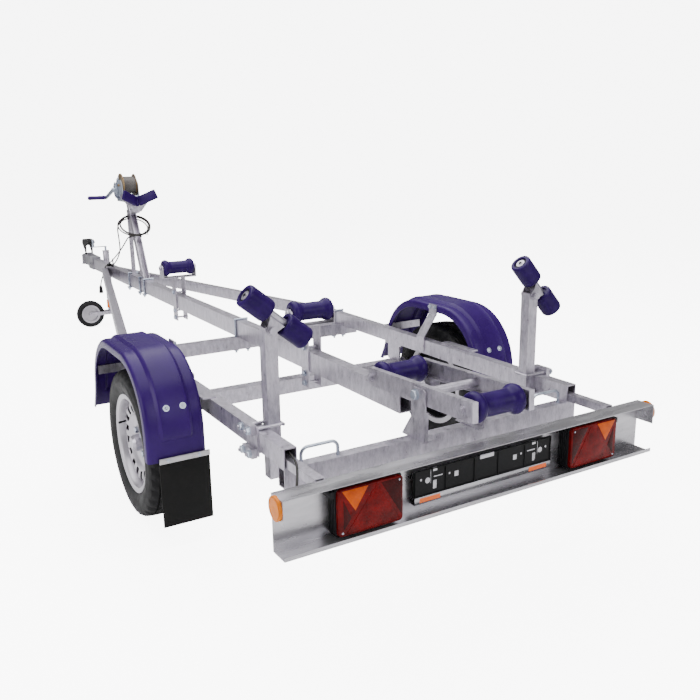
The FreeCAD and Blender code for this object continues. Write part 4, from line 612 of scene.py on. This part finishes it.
# %% [markdown]
# A mudguard is one moulded section swept over the wheel, with a low raised panel in the middle and a lip at each
# side. It could follow a curve, but straight runs and quarter turns keep its edge square to the way it goes.

# %% Mudguard section and runs
GUARD = dict(reach=0.352, top=0.655, bend=0.26, front_low=0.318, rear_low=0.314, flare=0.05, lip=0.042, wall=0.003)
PLAIN_END, PANEL_END, PANEL_STEP = 0.06, 0.012, 0.009
PRESS_HIGH, PRESS_FADE = 0.062, 0.009
FLARE_TOP, FLARE_DROP, FLARE_CURVE = 0.44, 0.122, 1.6
HALF_SECTION = [(0.1, -GUARD["lip"]), (0.1, -0.022), (0.0985, -0.0165), (0.095, -0.0125), (0.09, -0.0102),
                (0.084, -0.009), (0.064, -0.009), (0.058, -0.0088), (0.0565, -0.0075), (0.0505, -0.0012),
                (0.048, 0.0004), (0.0465, 0.001), (0.045, 0.0004), (0.0435, 0.0), (0.018, 0.0)]


def mirrored(half):
    """A profile that goes on as its own mirror image."""
    return half + [(-first, second) for first, second in reversed(half)]


def newest(step):
    """The vertices and edges that an extrusion or a spin has just made."""
    made = step["geom"] if "geom" in step else step["geom_last"]
    return only((bmesh.types.BMVert, bmesh.types.BMEdge), made)


def run(skin, front, way, steps):
    """Carries the section straight along a vector, in equal steps."""
    for _ in range(steps):
        front = newest(bmesh.ops.extrude_edge_only(skin, edges=only(bmesh.types.BMEdge, front)))
        bmesh.ops.translate(skin, verts=only(bmesh.types.BMVert, front), vec=Vector(way) / steps)
    return front


SECTION = mirrored(HALF_SECTION)
print("section of", len(SECTION), "points")

# %% [markdown]
# Now the section travels. Near both lower edges the raised panel is set back, which leaves its ends there. The skin
# gets its thickness last, because a thin sheet is easier to press and to flare.


# %% Mudguards
def pressed_panel(skin):
    """Sets the raised panel back near both lower edges, and flares the front edge outward."""
    for spot in skin.verts:
        x, z = spot.co.x - AXLE_X, spot.co.z
        above = z - (GUARD["front_low"] if x > 0 else GUARD["rear_low"] + PANEL_END)
        proud = abs(x) - (GUARD["reach"] - PANEL_STEP)
        if proud > 0:
            fade = min(1.0, max(0.0, (above - PRESS_HIGH) / PRESS_FADE))
            spot.co.x -= math.copysign(proud * (1 - fade), x)
        if x > 0:
            spot.co.x += GUARD["flare"] * max(0.0, (FLARE_TOP - z) / FLARE_DROP) ** FLARE_CURVE


def guard_skin(sign):
    """The front run, two quarter turns with the flat top between them, and the rear run."""
    skin = bmesh.new()
    rise = GUARD["top"] - GUARD["bend"]
    start = [skin.verts.new(at(GUARD["reach"] + h, sign * (WHEEL_Y + w), GUARD["front_low"])) for w, h in SECTION]
    front = start + [skin.edges.new(pair) for pair in zip(start, start[1:])]
    front = run(skin, front, (0, 0, PLAIN_END), 4)
    front = run(skin, front, (0, 0, PANEL_END), 4)
    front = run(skin, front, (0, 0, rise - GUARD["front_low"] - PLAIN_END - PANEL_END), 3)
    inset = GUARD["reach"] - GUARD["bend"]
    for centre_x, across in ((inset, -2 * inset), (-inset, 0)):
        turn = bmesh.ops.spin(skin, geom=front, cent=at(centre_x, 0, rise), axis=(0, -1, 0), angle=math.pi / 2,
                              steps=48)
        front = newest(turn)
        if across:
            front = run(skin, front, (across, 0, 0), 6)
    front = run(skin, front, (0, 0, GUARD["rear_low"] + PLAIN_END - rise), 2)
    run(skin, front, (0, 0, -PLAIN_END), 4)
    pressed_panel(skin)
    bmesh.ops.recalc_face_normals(skin, faces=skin.faces)
    bmesh.ops.solidify(skin, geom=skin.faces[:], thickness=GUARD["wall"])
    return skin


for side, sign in SIDES:
    add_piece(f"mudguard_skin_{side}", guard_skin(sign), "guard_plastic", replaces=[f"mudguard_{side}"], sharp=30)
print("mudguards skinned", len(SIDES))

# %% [markdown]
# A rubber flap hangs behind each wheel, and an aluminium strip clamps it to the guard. Both are thin boxes, their
# edges barely eased, to catch a line of light.

# %% Flaps and strips
FLAP_IN, FLAP_OUT = 0.579, 0.752
flaps, strips = bmesh.new(), bmesh.new()
for side, sign in SIDES:
    block(flaps, at(-0.349, sign * FLAP_IN, 0.084), at(-0.345, sign * FLAP_OUT, 0.328), 0.0008)
    block(strips, at(-0.3545, sign * FLAP_IN, 0.3105), at(-0.349, sign * FLAP_OUT, 0.329), 0.0006)
add_piece("flaps", flaps, "flap_rubber", replaces=["mud_flaps"])
add_piece("flap_clamping_strips", strips, "strip_aluminium", replaces=["flap_strips"])
print("flaps and strips", len(SIDES))

# %% [markdown]
# Round bolt heads hold the guard at its rear bend, rivets go through the strip, and two hexagons on the inner lip
# hold the stays. The bolts sit on a bend, so a right triangle with its radius gives their place and their way out.

# %% Guard fixings
BOLT_Z = 0.492
BOLT_HEAD = [(-0.002, 0.0), (-0.002, 0.011), (0.0008, 0.011), (0.0012, 0.006), (0.0034, 0.0055), (0.0042, 0.003),
             (0.0042, 0.0)]
RIVET = [(-0.002, 0.0), (-0.002, 0.006), (0.001, 0.006), (0.0024, 0.004), (0.0026, 0.0)]
bolt_rise = BOLT_Z - (GUARD["top"] - GUARD["bend"])
bolt_back = math.sqrt(GUARD["bend"] ** 2 - bolt_rise ** 2)
bolt_x = -(bolt_back + GUARD["reach"] - GUARD["bend"])
fixings = bmesh.new()
for side, sign in SIDES:
    for y in (0.655, 0.711):
        lathe(fixings, BOLT_HEAD, at(bolt_x, sign * y, BOLT_Z), (-bolt_back, 0, bolt_rise), 20)
    for y in (0.616, 0.723):
        lathe(fixings, RIVET, at(-0.354, sign * y, 0.32), (-1, 0, 0), 14)
    for x in (-0.058, -0.024):
        hexagon(fixings, at(x, sign * 0.582, 0.636), (0, -sign, 0), across=0.013, tall=0.006, washer=0.009)
add_piece("guard_fixings", fixings, "zinc")
print("guard bolts at x", round(bolt_x, 4))

# %% [markdown]
# Each tail lamp is a black box with ribs round it. The ribs could be loop cuts pushed out, but a rounded rectangle
# pushed out five times gives the same in fewer steps.

# %% Lamp boxes
LAMP_BACK, LAMP_FACE = -1.057, -1.098
LAMP_IN, LAMP_OUT, LAMP_LOW, LAMP_HIGH = 0.316, 0.52, 0.316, 0.45
RIBS, FIRST_RIB, RIB_PITCH, RIB_PROUD, RIB_THICK = 5, -1.0615, 0.008, 0.0022, 0.0032


def lamp_outline(wider, radius):
    """The lamp's rounded rectangle, let out or taken in on every side."""
    return rounded_outline((LAMP_IN - wider, LAMP_LOW - wider), (LAMP_OUT + wider, LAMP_HIGH + wider), radius)


for side, sign in SIDES:
    housing = bmesh.new()
    prism(housing, [at(LAMP_BACK, sign * y, z) for y, z in lamp_outline(0, 0.008)], (LAMP_FACE - LAMP_BACK, 0, 0))
    for i in range(RIBS):
        x = FIRST_RIB - RIB_PITCH * i
        prism(housing, [at(x, sign * y, z) for y, z in lamp_outline(RIB_PROUD, 0.01)], (-RIB_THICK, 0, 0))
    block(housing, at(LAMP_FACE, sign * 0.522, 0.426), at(LAMP_BACK, sign * 0.536, 0.444), 0.002)
    add_piece(f"lamp_housing_{side}", housing, "lamp", replaces=[f"tail_lamp_{side}"], sharp=30)
print("lamp boxes with", RIBS, "ribs")

# %% [markdown]
# A bevelled red lens covers the box. A triangle of amber points down at its outer end and a red one points up, with
# darker fields beside them. A real lens is one moulding, but a thin plate for each field gives it a crisp edge and
# its own colour. The table holds a field's look, how far it stands out, its soft rim and its outline.

# %% Lamp lenses
LENS_PROUD = 0.012
FIELD_FACE = LAMP_FACE - 0.0117
FIELDS = {
    "lens_amber_{}": ("amber_lens", 0.0014, 0.0004, [(0.508, 0.4455), (0.428, 0.4455), (0.468, 0.384)]),
    "lens_reflex_{}": ("red_lens", 0.0014, 0.0004, [(0.328, 0.3235), (0.496, 0.3235), (0.4, 0.445)]),
    "lens_shade_{}_0": ("dark_lens", 0.0008, 0.0003, [(0.322, 0.336), (0.322, 0.444), (0.388, 0.444)]),
    "lens_shade_{}_1": ("dark_lens", 0.0008, 0.0003, [(0.504, 0.336), (0.48, 0.366), (0.504, 0.42)]),
}
SCREW_HEAD = [(-0.001, 0.0), (-0.001, 0.0034), (0.0006, 0.0034), (0.0014, 0.0018), (0.0014, 0.0)]


def lens_plate(name, sign, outline, face_x, proud, soft, look):
    """A plate, drawn in Y and Z, that stands out toward the rear with its rear rim eased."""
    shape = bmesh.new()
    prism(shape, [at(face_x, sign * y, z) for y, z in outline], (-proud, 0, 0))
    rear = min(v.co.x for v in shape.verts)
    ease(shape, [e for e in shape.edges if all(abs(v.co.x - rear) < 1e-6 for v in e.verts)], soft, 3)
    add_piece(name, shape, "lamp", look=look, sharp=50)


for side, sign in SIDES:
    lens_plate(f"lens_red_{side}", sign, lamp_outline(-0.001, 0.012), LAMP_FACE, LENS_PROUD, 0.0045, "red_lens")
    for name, (look, proud, soft, outline) in FIELDS.items():
        lens_plate(name.format(side), sign, outline, FIELD_FACE, proud, soft, look)
    screws = bmesh.new()
    for y, z in ((0.507, 0.328), (0.329, 0.438)):
        lathe(screws, SCREW_HEAD, at(FIELD_FACE, sign * y, z), (-1, 0, 0), 16)
    add_piece(f"lens_screws_{side}", screws, "zinc")
print("lens fields on each lamp", len(FIELDS))

# %% [markdown]
# A round orange reflector faces outward at each end of the board. The plain disc stays. A raised rim, and a ring
# and a knob in relief, are spun round its axis.

# %% Side reflectors
for side, sign in SIDES:
    disc, out = at(-1.088, sign * 0.69, 0.437), (0, sign, 0)
    rim, relief = bmesh.new(), bmesh.new()
    lathe(rim, [(-0.0088, 0.0302), (-0.0088, 0.033), (-0.0008, 0.033), (-0.0008, 0.0302)], disc, out, 48, True)
    add_piece(f"reflector_ring_{side}", rim, "lens")
    lathe(relief, [(-0.0002, 0.0265), (0.0006, 0.0268), (0.0006, 0.0288), (-0.0002, 0.0292)], disc, out, 48, True)
    lathe(relief, [(-0.0002, 0.0), (0.0007, 0.0), (0.0005, 0.003), (-0.0002, 0.0036)], disc, out, 20)
    add_piece(f"reflector_relief_{side}", relief, "lens")
print("reflectors", len(SIDES))

# %% [markdown]
# The black plate holder is a shallow tray with stiffening ribs, and the board's metal shows through its holes. They
# could be cut out of the tray, but a thin piece of metal laid over each place looks the same.

# %% Plate holder
HOLDER_FACE, HOLDER_HALF = -1.079, 0.2575
RIB_DEEP, RIB_HALF, HOLE_DEEP = 0.0028, 0.0016, 0.0006
SQUARE_HOLES = [((0.182, 0.366), (0.194, 0.392)), ((0.104, 0.386), (0.118, 0.402)), ((0.18, 0.419), (0.194, 0.43)),
                ((0.2015, 0.385), (0.2028, 0.428)), ((0.16, 0.401), (0.192, 0.4045)), ((0.133, 0.397), (0.139, 0.403))]
ribs, holes = bmesh.new(), bmesh.new()
for y in (-0.256, -0.15, -0.045, 0.045, 0.15, 0.256):
    block(ribs, at(HOLDER_FACE - RIB_DEEP, y - RIB_HALF, 0.352), at(HOLDER_FACE, y + RIB_HALF, 0.43), 0.0006)
for z in (0.3525, 0.4265):
    block(ribs, at(HOLDER_FACE - RIB_DEEP, -HOLDER_HALF, z), at(HOLDER_FACE, HOLDER_HALF, z + 0.003), 0.0006)
add_piece("holder_ribs", ribs, "holder_plastic")
for side, sign in SIDES:
    for y, z, radius, steps in ((0.213, 0.396, 0.0085, 24), (0.236, 0.402, 0.0035, 16)):
        lathe(holes, ring(0.0, HOLE_DEEP, 0.0, radius), at(HOLDER_FACE, sign * y, z), (-1, 0, 0), steps)
    for low, high in SQUARE_HOLES:
        block(holes, at(HOLDER_FACE - HOLE_DEEP, sign * low[0], low[1]), at(HOLDER_FACE, sign * high[0], high[1]),
              0.0002)
block(holes, at(HOLDER_FACE - 0.0031, -0.026, 0.418), at(HOLDER_FACE - 0.0002, 0.026, 0.4302), 0.0003)
add_piece("holder_openings", holes, "board_metal")
print("holder width", 2 * HOLDER_HALF)

# %% [markdown]
# Under the tray runs a bare metal strip, bent under the board, with a plain orange sticker near each end. A sticker
# is only a film, so it is a box three tenths of a millimetre thick.

# %% Strip and stickers
STRIP_HALF, STICKER_Y, STICKER_HALF = 0.258, 0.205, 0.036
strip, film = bmesh.new(), bmesh.new()
block(strip, at(-1.0805, -STRIP_HALF, 0.3305), at(-1.079, STRIP_HALF, 0.3515), 0.0004)
block(strip, at(-1.0795, -STRIP_HALF, 0.329), at(-1.0575, STRIP_HALF, 0.3305), 0.0004)
add_piece("holder_strip", strip, "board_metal")
for side, sign in SIDES:
    y = sign * STICKER_Y
    block(film, at(-1.0809, y - STICKER_HALF, 0.3345), at(-1.0806, y + STICKER_HALF, 0.3475))
add_piece("plain_stickers", film, "board_metal", look="orange_film")
print("strip width", 2 * STRIP_HALF)

# %% [markdown]
# The wheels are pressed steel: a barrel with a rolled flange, and a dished disc with a ring of slots. The slots are
# faces deleted from a bare skin before it gets its thickness. A dark skin inside is painted shade: it stands for the
# shadow inside the wheel.

# %% Wheel rims
BARREL = [(-0.066, 0.161), (-0.066, 0.1825), (-0.0635, 0.1835), (-0.061, 0.18), (-0.058, 0.167), (-0.04, 0.1645),
          (0.04, 0.1645), (0.058, 0.167), (0.061, 0.18), (0.0635, 0.1835), (0.066, 0.1825), (0.0665, 0.179),
          (0.0635, 0.172), (0.062, 0.165), (0.055, 0.1605), (0.03, 0.158), (-0.04, 0.156), (-0.06, 0.159)]
DISC = [(0.03, 0.159), (0.036, 0.152), (0.0415, 0.144), (0.0435, 0.136), (0.0435, 0.128), (0.042, 0.118),
        (0.039, 0.11), (0.037, 0.102), (0.03, 0.093), (0.0262, 0.083), (0.0255, 0.066), (0.0262, 0.046),
        (0.0262, 0.0305)]
# The profile of the painted shade: a dark skin inside the barrel and behind the disc, where the wheel is in shadow.
PAINTED_SHADE_SKIN = [(-0.058, 0.1585), (0.026, 0.1575), (0.026, 0.1555), (-0.008, 0.1555), (-0.008, 0.062), (-0.011, 0.062),
          (-0.011, 0.1555), (-0.058, 0.1555)]
RIM_STEPS, SLOTS, DISC_WALL = 128, 16, 0.003
SLOT_STEPS, SLOT_LOW, SLOT_HIGH, SLOT_BAND = range(2, 6), 0.11, 0.144, (0.105, 0.15)


def slotted_disc(centre, sign):
    """The disc of a wheel: a skin with slots, whose edges are smoothed before it gets its thickness."""
    disc = bmesh.new()
    lathe(disc, DISC, centre, (0, sign, 0), RIM_STEPS)
    bmesh.ops.remove_doubles(disc, verts=disc.verts, dist=MERGE)
    gone = []
    for face in disc.faces:
        radius, turn = around(face.calc_center_median(), centre, RIM_STEPS)
        if SLOT_LOW < radius < SLOT_HIGH and math.floor(turn) % (RIM_STEPS // SLOTS) in SLOT_STEPS:
            gone.append(face)
    bmesh.ops.delete(disc, geom=gone, context="FACES")
    low, high = SLOT_BAND
    slot_edge = [v for v in disc.verts if v.is_boundary and low < around(v.co, centre, RIM_STEPS)[0] < high]
    bmesh.ops.smooth_vert(disc, verts=slot_edge, factor=0.4, use_axis_x=True, use_axis_y=True, use_axis_z=True)
    bmesh.ops.recalc_face_normals(disc, faces=disc.faces)
    bmesh.ops.solidify(disc, geom=disc.faces[:], thickness=DISC_WALL)
    return disc


for side, sign in SIDES:
    centre, body = at(0, sign * WHEEL_Y, TYRE_RADIUS), f"wheel_{side}"
    barrel, painted_shade = bmesh.new(), bmesh.new()
    lathe(barrel, BARREL, centre, (0, sign, 0), 96, closed=True)
    lathe(painted_shade, PAINTED_SHADE_SKIN, centre, (0, sign, 0), 96, closed=True)
    add_piece(f"rim_barrel_{side}", barrel, "rim_silver", body, [f"rim_{side}"], sharp=40)
    # This skin is painted shade, in the lamps' black, inside the barrel and behind the disc.
    add_piece(f"rim_lining_{side}", painted_shade, "rim_silver", body, look="lamp", sharp=40)
    add_piece(f"rim_disc_{side}", slotted_disc(centre, sign), "rim_silver", body, sharp=40)
print("rims with", SLOTS, "slots")

# %% [markdown]
# A keel roller is a spool of soft plastic: a rounded bead at each end and a straight waist between them. It is one
# profile spun round its own shaft, placed by the box of the plain solid that it takes over.

# %% Keel rollers
SPOOL_END = [(-0.084, 0.01), (-0.084, 0.0215), (-0.088, 0.0235), (-0.088, 0.0365), (-0.0868, 0.0395),
             (-0.083, 0.043), (-0.078, 0.0452), (-0.072, 0.0459), (-0.066, 0.0452), (-0.061, 0.043),
             (-0.056, 0.0395), (-0.052, 0.0368), (-0.047, 0.0354), (-0.04, 0.035)]
SPOOLS = {"front_keel_roller": "front_roller", "middle_keel_roller": "middle_roller",
          "bogie_roller_front": "bogie_front_roller", "bogie_roller_rear": "bogie_rear_roller"}
for node, body in SPOOLS.items():
    low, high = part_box(node)
    spool = bmesh.new()
    lathe(spool, mirrored(SPOOL_END), (low + high) / 2, (0, 1, 0), 72, closed=True)
    add_piece(f"{node}_spool", spool, "roller_rubber", body, [node], sharp=40)
print("spools", len(SPOOLS))

# %% [markdown]
# The boat's bow rests in a V of two soft pads, each backed by a metal plate. A pad stands on edge along a slanted
# line. It could be turned by angles, but a matrix made from the line itself needs no guessing.


# %% Bow pads
def slanted_block(shape, start, end, tall, thick, back, soft):
    """A block that stands on edge from one point to another, with its rear face set forward of them by back."""
    along = (end - start).normalized()
    normal = along.cross(Vector((0, 0, 1))).normalized()
    normal = normal if normal.x > 0 else -normal
    up = normal.cross(along).normalized()
    turn = Matrix((along, normal, up)).transposed().to_4x4()
    place = Matrix.Translation((start + end) / 2 + normal * (thick / 2 + back)) @ turn
    size = Matrix.Diagonal(((end - start).length, thick, tall, 1))
    spots = bmesh.ops.create_cube(shape, size=1, matrix=place @ size)["verts"]
    ease(shape, list({edge for spot in spots for edge in spot.link_edges}), soft, 3)


pads, plates = bmesh.new(), bmesh.new()
for side, sign in SIDES:
    inner, tip = at(2.298, sign * 0.002, 1.0155), at(2.226, sign * 0.098, 1.064)
    slanted_block(pads, inner, tip, tall=0.06, thick=0.018, back=0.0, soft=0.005)
    slanted_block(plates, inner.lerp(tip, 0.05), inner.lerp(tip, 0.93), tall=0.05, thick=0.004, back=0.0185,
                  soft=0.0008)
block(pads, at(2.2965, -0.007, 0.9865), at(2.3165, 0.007, 1.024), 0.003)
add_piece("bow_stop_pads", pads, "roller_rubber", replaces=["bow_pads"], sharp=40)
add_piece("bow_stop_plates", plates, "galvanised")
print("right bow pad ends at", tuple(round(v, 3) for v in tip))

# %% [markdown]
# A bent rod is a circle that travels: straight runs are extrusions along its way, and each bend is a quarter spin
# about a centre beside it. The tie-down loops are made like that, with the easy bends of the real ones.


# %% Tie-down loops
def bent_rod(shape, radius, start, way, moves):
    """A move is a length for a straight run, or a side vector and a radius for a quarter bend."""
    spot, way = Vector(start), Vector(way)
    place = Matrix.Translation(spot) @ way.to_track_quat("Z", "Y").to_matrix().to_4x4()
    circle = bmesh.ops.create_circle(shape, segments=16, radius=radius, matrix=place)["verts"]
    front = circle + list({edge for v in circle for edge in v.link_edges})
    for move in moves:
        if isinstance(move, tuple):
            side, reach = Vector(move[0]), move[1]
            centre = spot + side * reach
            front = newest(bmesh.ops.spin(shape, geom=front, cent=centre, axis=way.cross(side), angle=math.pi / 2,
                                          steps=8))
            spot, way = centre + way * reach, side
        else:
            front = run(shape, front, way * move, 1)
            spot = spot + way * move
    bmesh.ops.holes_fill(shape, edges=shape.edges, sides=0)


ROD_RADIUS, LEG, LOOP_BEND, BRIDGE = 0.005, 0.101, 0.022, 0.076
loops = bmesh.new()
for side, sign in SIDES:
    moves = [LEG, ((0, sign, 0), LOOP_BEND), BRIDGE, ((0, 0, -1), LOOP_BEND), LEG]
    bent_rod(loops, ROD_RADIUS, at(-0.87, sign * 0.38, 0.362), (0, 0, 1), moves)
add_piece("loops", loops, "zinc", replaces=["tie_down_loops"])
print("loop width", BRIDGE + 2 * LOOP_BEND)

# %% [markdown]
# The winch's drum is full of wire rope. A long helix would be heavy and hardly look different from rings, so each
# turn is a round bump in one profile, which is spun round the drum's axis.

# %% Winch rope
WINCH_X, WINCH_Z = 2.49, 1.115
ROPE_TURNS, ROPE_RADIUS, WOUND_RADIUS = 13, 0.003, 0.0515
FIRST_TURN, WOUND_END = -0.036, (0.0388, 0.0478)
profile = [(-WOUND_END[0], WOUND_END[1])]
for turn in range(ROPE_TURNS):
    middle = FIRST_TURN + 2 * ROPE_RADIUS * turn
    for i in range(7):
        angle = math.radians(180 - 30 * i)
        profile.append((middle + ROPE_RADIUS * math.cos(angle), WOUND_RADIUS + ROPE_RADIUS * math.sin(angle)))
profile.append(WOUND_END)
rope = bmesh.new()
lathe(rope, profile, at(WINCH_X, 0, WINCH_Z), (0, 1, 0), 64, closed=True)
add_piece("wound_rope", rope, "zinc", "drum", look="wire_rope")
print("rope turns", ROPE_TURNS)

# %% [markdown]
# A ratchet wheel outside the left cheek turns with the crank, and a pawl drops between its teeth. Both are cut from
# flat steel, so each outline is drawn once and pushed out to its width.

# %% Ratchet and pawl
CRANK_X, SHAFTS_APART, TEETH = 2.574, 0.09, 16
CRANK_Z = WINCH_Z - math.sqrt(SHAFTS_APART ** 2 - (CRANK_X - WINCH_X) ** 2)
TOOTH = ((0.0, 0.043), (0.12, 0.052), (0.45, 0.0475), (0.9, 0.0435))
BOSS = [(0.0, 0.0), (0.0, 0.03), (0.0035, 0.03), (0.0045, 0.026), (0.0045, 0.0)]
PAWL = ((0.008, 0.03), (0.024, 0.026), (0.052, 0.006), (0.055, 0.012), (0.04, 0.03), (0.02, 0.044),
        (0.000, 0.052), (-0.006, 0.044))
outline = []
for i in range(TEETH):
    for part, radius in TOOTH:
        angle = 2 * math.pi * (i + part) / TEETH
        outline.append(at(CRANK_X + radius * math.cos(angle), 0.059, CRANK_Z + radius * math.sin(angle)))
ratchet, pawl = bmesh.new(), bmesh.new()
prism(ratchet, outline, (0, 0.005, 0))
lathe(ratchet, BOSS, at(CRANK_X, 0.064, CRANK_Z), (0, 1, 0), 36)
add_piece("ratchet_wheel", ratchet, "zinc", "crank")
prism(pawl, [at(WINCH_X + ahead, 0.0595, WINCH_Z + up) for ahead, up in PAWL], (0, 0.004, 0))
hexagon(pawl, at(2.506, 0.056, 1.15), (0, 1, 0), across=0.013, tall=0.01, washer=0.008)
add_piece("pawl", pawl, "zinc")
print("ratchet teeth", TEETH)

# %% [markdown]
# The frame's nuts are one piece, because they never part. Each chamfered hexagon covers a plain nut. A kind of nut is
# its width, its height and the radius of its washer, if it has one.

# %% Frame nuts
POST_NUT, BRACKET_NUT = (0.0208, 0.009, 0.0125), (0.019, 0.0078, 0.012)
CLAMP_NUT, BOGIE_NUT = (0.0208, 0.0088), (0.0272, 0.01, 0.017)
POST_X = {"left": -0.688, "right": -0.711}
UNDER_CLAMPS = [(0.71, 0.5125, 0.38), (0.71, 0.5715, 0.38), (0.71, 0.0303, 0.38), (-0.87, 0.38, 0.38),
                (-0.87, 0.5, 0.38), (2.2, 0.0303, 0.434), (2.3, 0.0303, 0.434), (2.544, 0.0303, 0.434)]
nuts = bmesh.new()
for side, sign in SIDES:
    out, down = (0, sign, 0), (0, 0, -1)
    for x in (POST_X[side] - 0.0245, POST_X[side] + 0.0245):
        for z in (0.434, 0.506):
            hexagon(nuts, at(x, sign * 0.5858, z), out, *POST_NUT)
    for x in (1.6, -0.005):
        for z in (0.532, 0.426, 0.386):
            hexagon(nuts, at(x, sign * 0.031, z), out, *BRACKET_NUT)
    for x, y, z in UNDER_CLAMPS:
        hexagon(nuts, at(x, sign * y, z), down, *CLAMP_NUT)
    hexagon(nuts, at(-0.895, sign * 0.1218, 0.583), out, *BOGIE_NUT)
add_piece("frame_nuts", nuts, "zinc")
print("clamp nuts on each side", len(UNDER_CLAMPS))

# %% [markdown]
# Four bolts hold each wheel. They ride on the wheel's body and not on the frame, so they go round with it.

# %% Wheel bolts
WHEEL_BOLTS, BOLT_CIRCLE = 4, 0.05
for side, sign in SIDES:
    heads = bmesh.new()
    for i in range(WHEEL_BOLTS):
        angle = math.radians(45 + 90 * i)
        x, z = BOLT_CIRCLE * math.cos(angle), TYRE_RADIUS + BOLT_CIRCLE * math.sin(angle)
        hexagon(heads, at(x, sign * (WHEEL_Y + 0.0265), z), (0, sign, 0), across=0.021, tall=0.011)
    add_piece(f"wheel_bolt_heads_{side}", heads, "zinc", f"wheel_{side}")
print("bolts on each wheel", WHEEL_BOLTS)

# %% [markdown]
# The side rollers of a post share one spindle. A black plug and ring on the outer face of each roller are painted
# shade: they stand for the shadow in the hollow at the spindle's end and in the groove round it. Its slant is the
# line between the middles of the two rollers.

# %% Spindle ends
PLUG, GROOVE = ring(-0.0005, 0.0007, 0.0, 0.0056), ring(-0.001, 0.0006, 0.0152, 0.0205)
for side, sign in SIDES:
    inner, outer = (sum(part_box(f"side_roller_{side}_{place}"), Vector()) / 2 for place in ("inner", "outer"))
    way = (outer - inner).normalized()
    # The black plug and ring are painted shade, dark where the spindle's hollow end and the groove lie in shadow.
    painted_hollow_shade = bmesh.new()
    for spot, out in ((outer, way), (inner, -way)):
        lathe(painted_hollow_shade, PLUG, spot + out * 0.0435, out, 20)
        lathe(painted_hollow_shade, GROOVE, spot + out * 0.039, out, 32, closed=True)
    add_piece(f"spindle_hollows_{side}", painted_hollow_shade, "black_plastic", f"head_{side}")
    print("spindle slant", side, tuple(round(v, 3) for v in way))
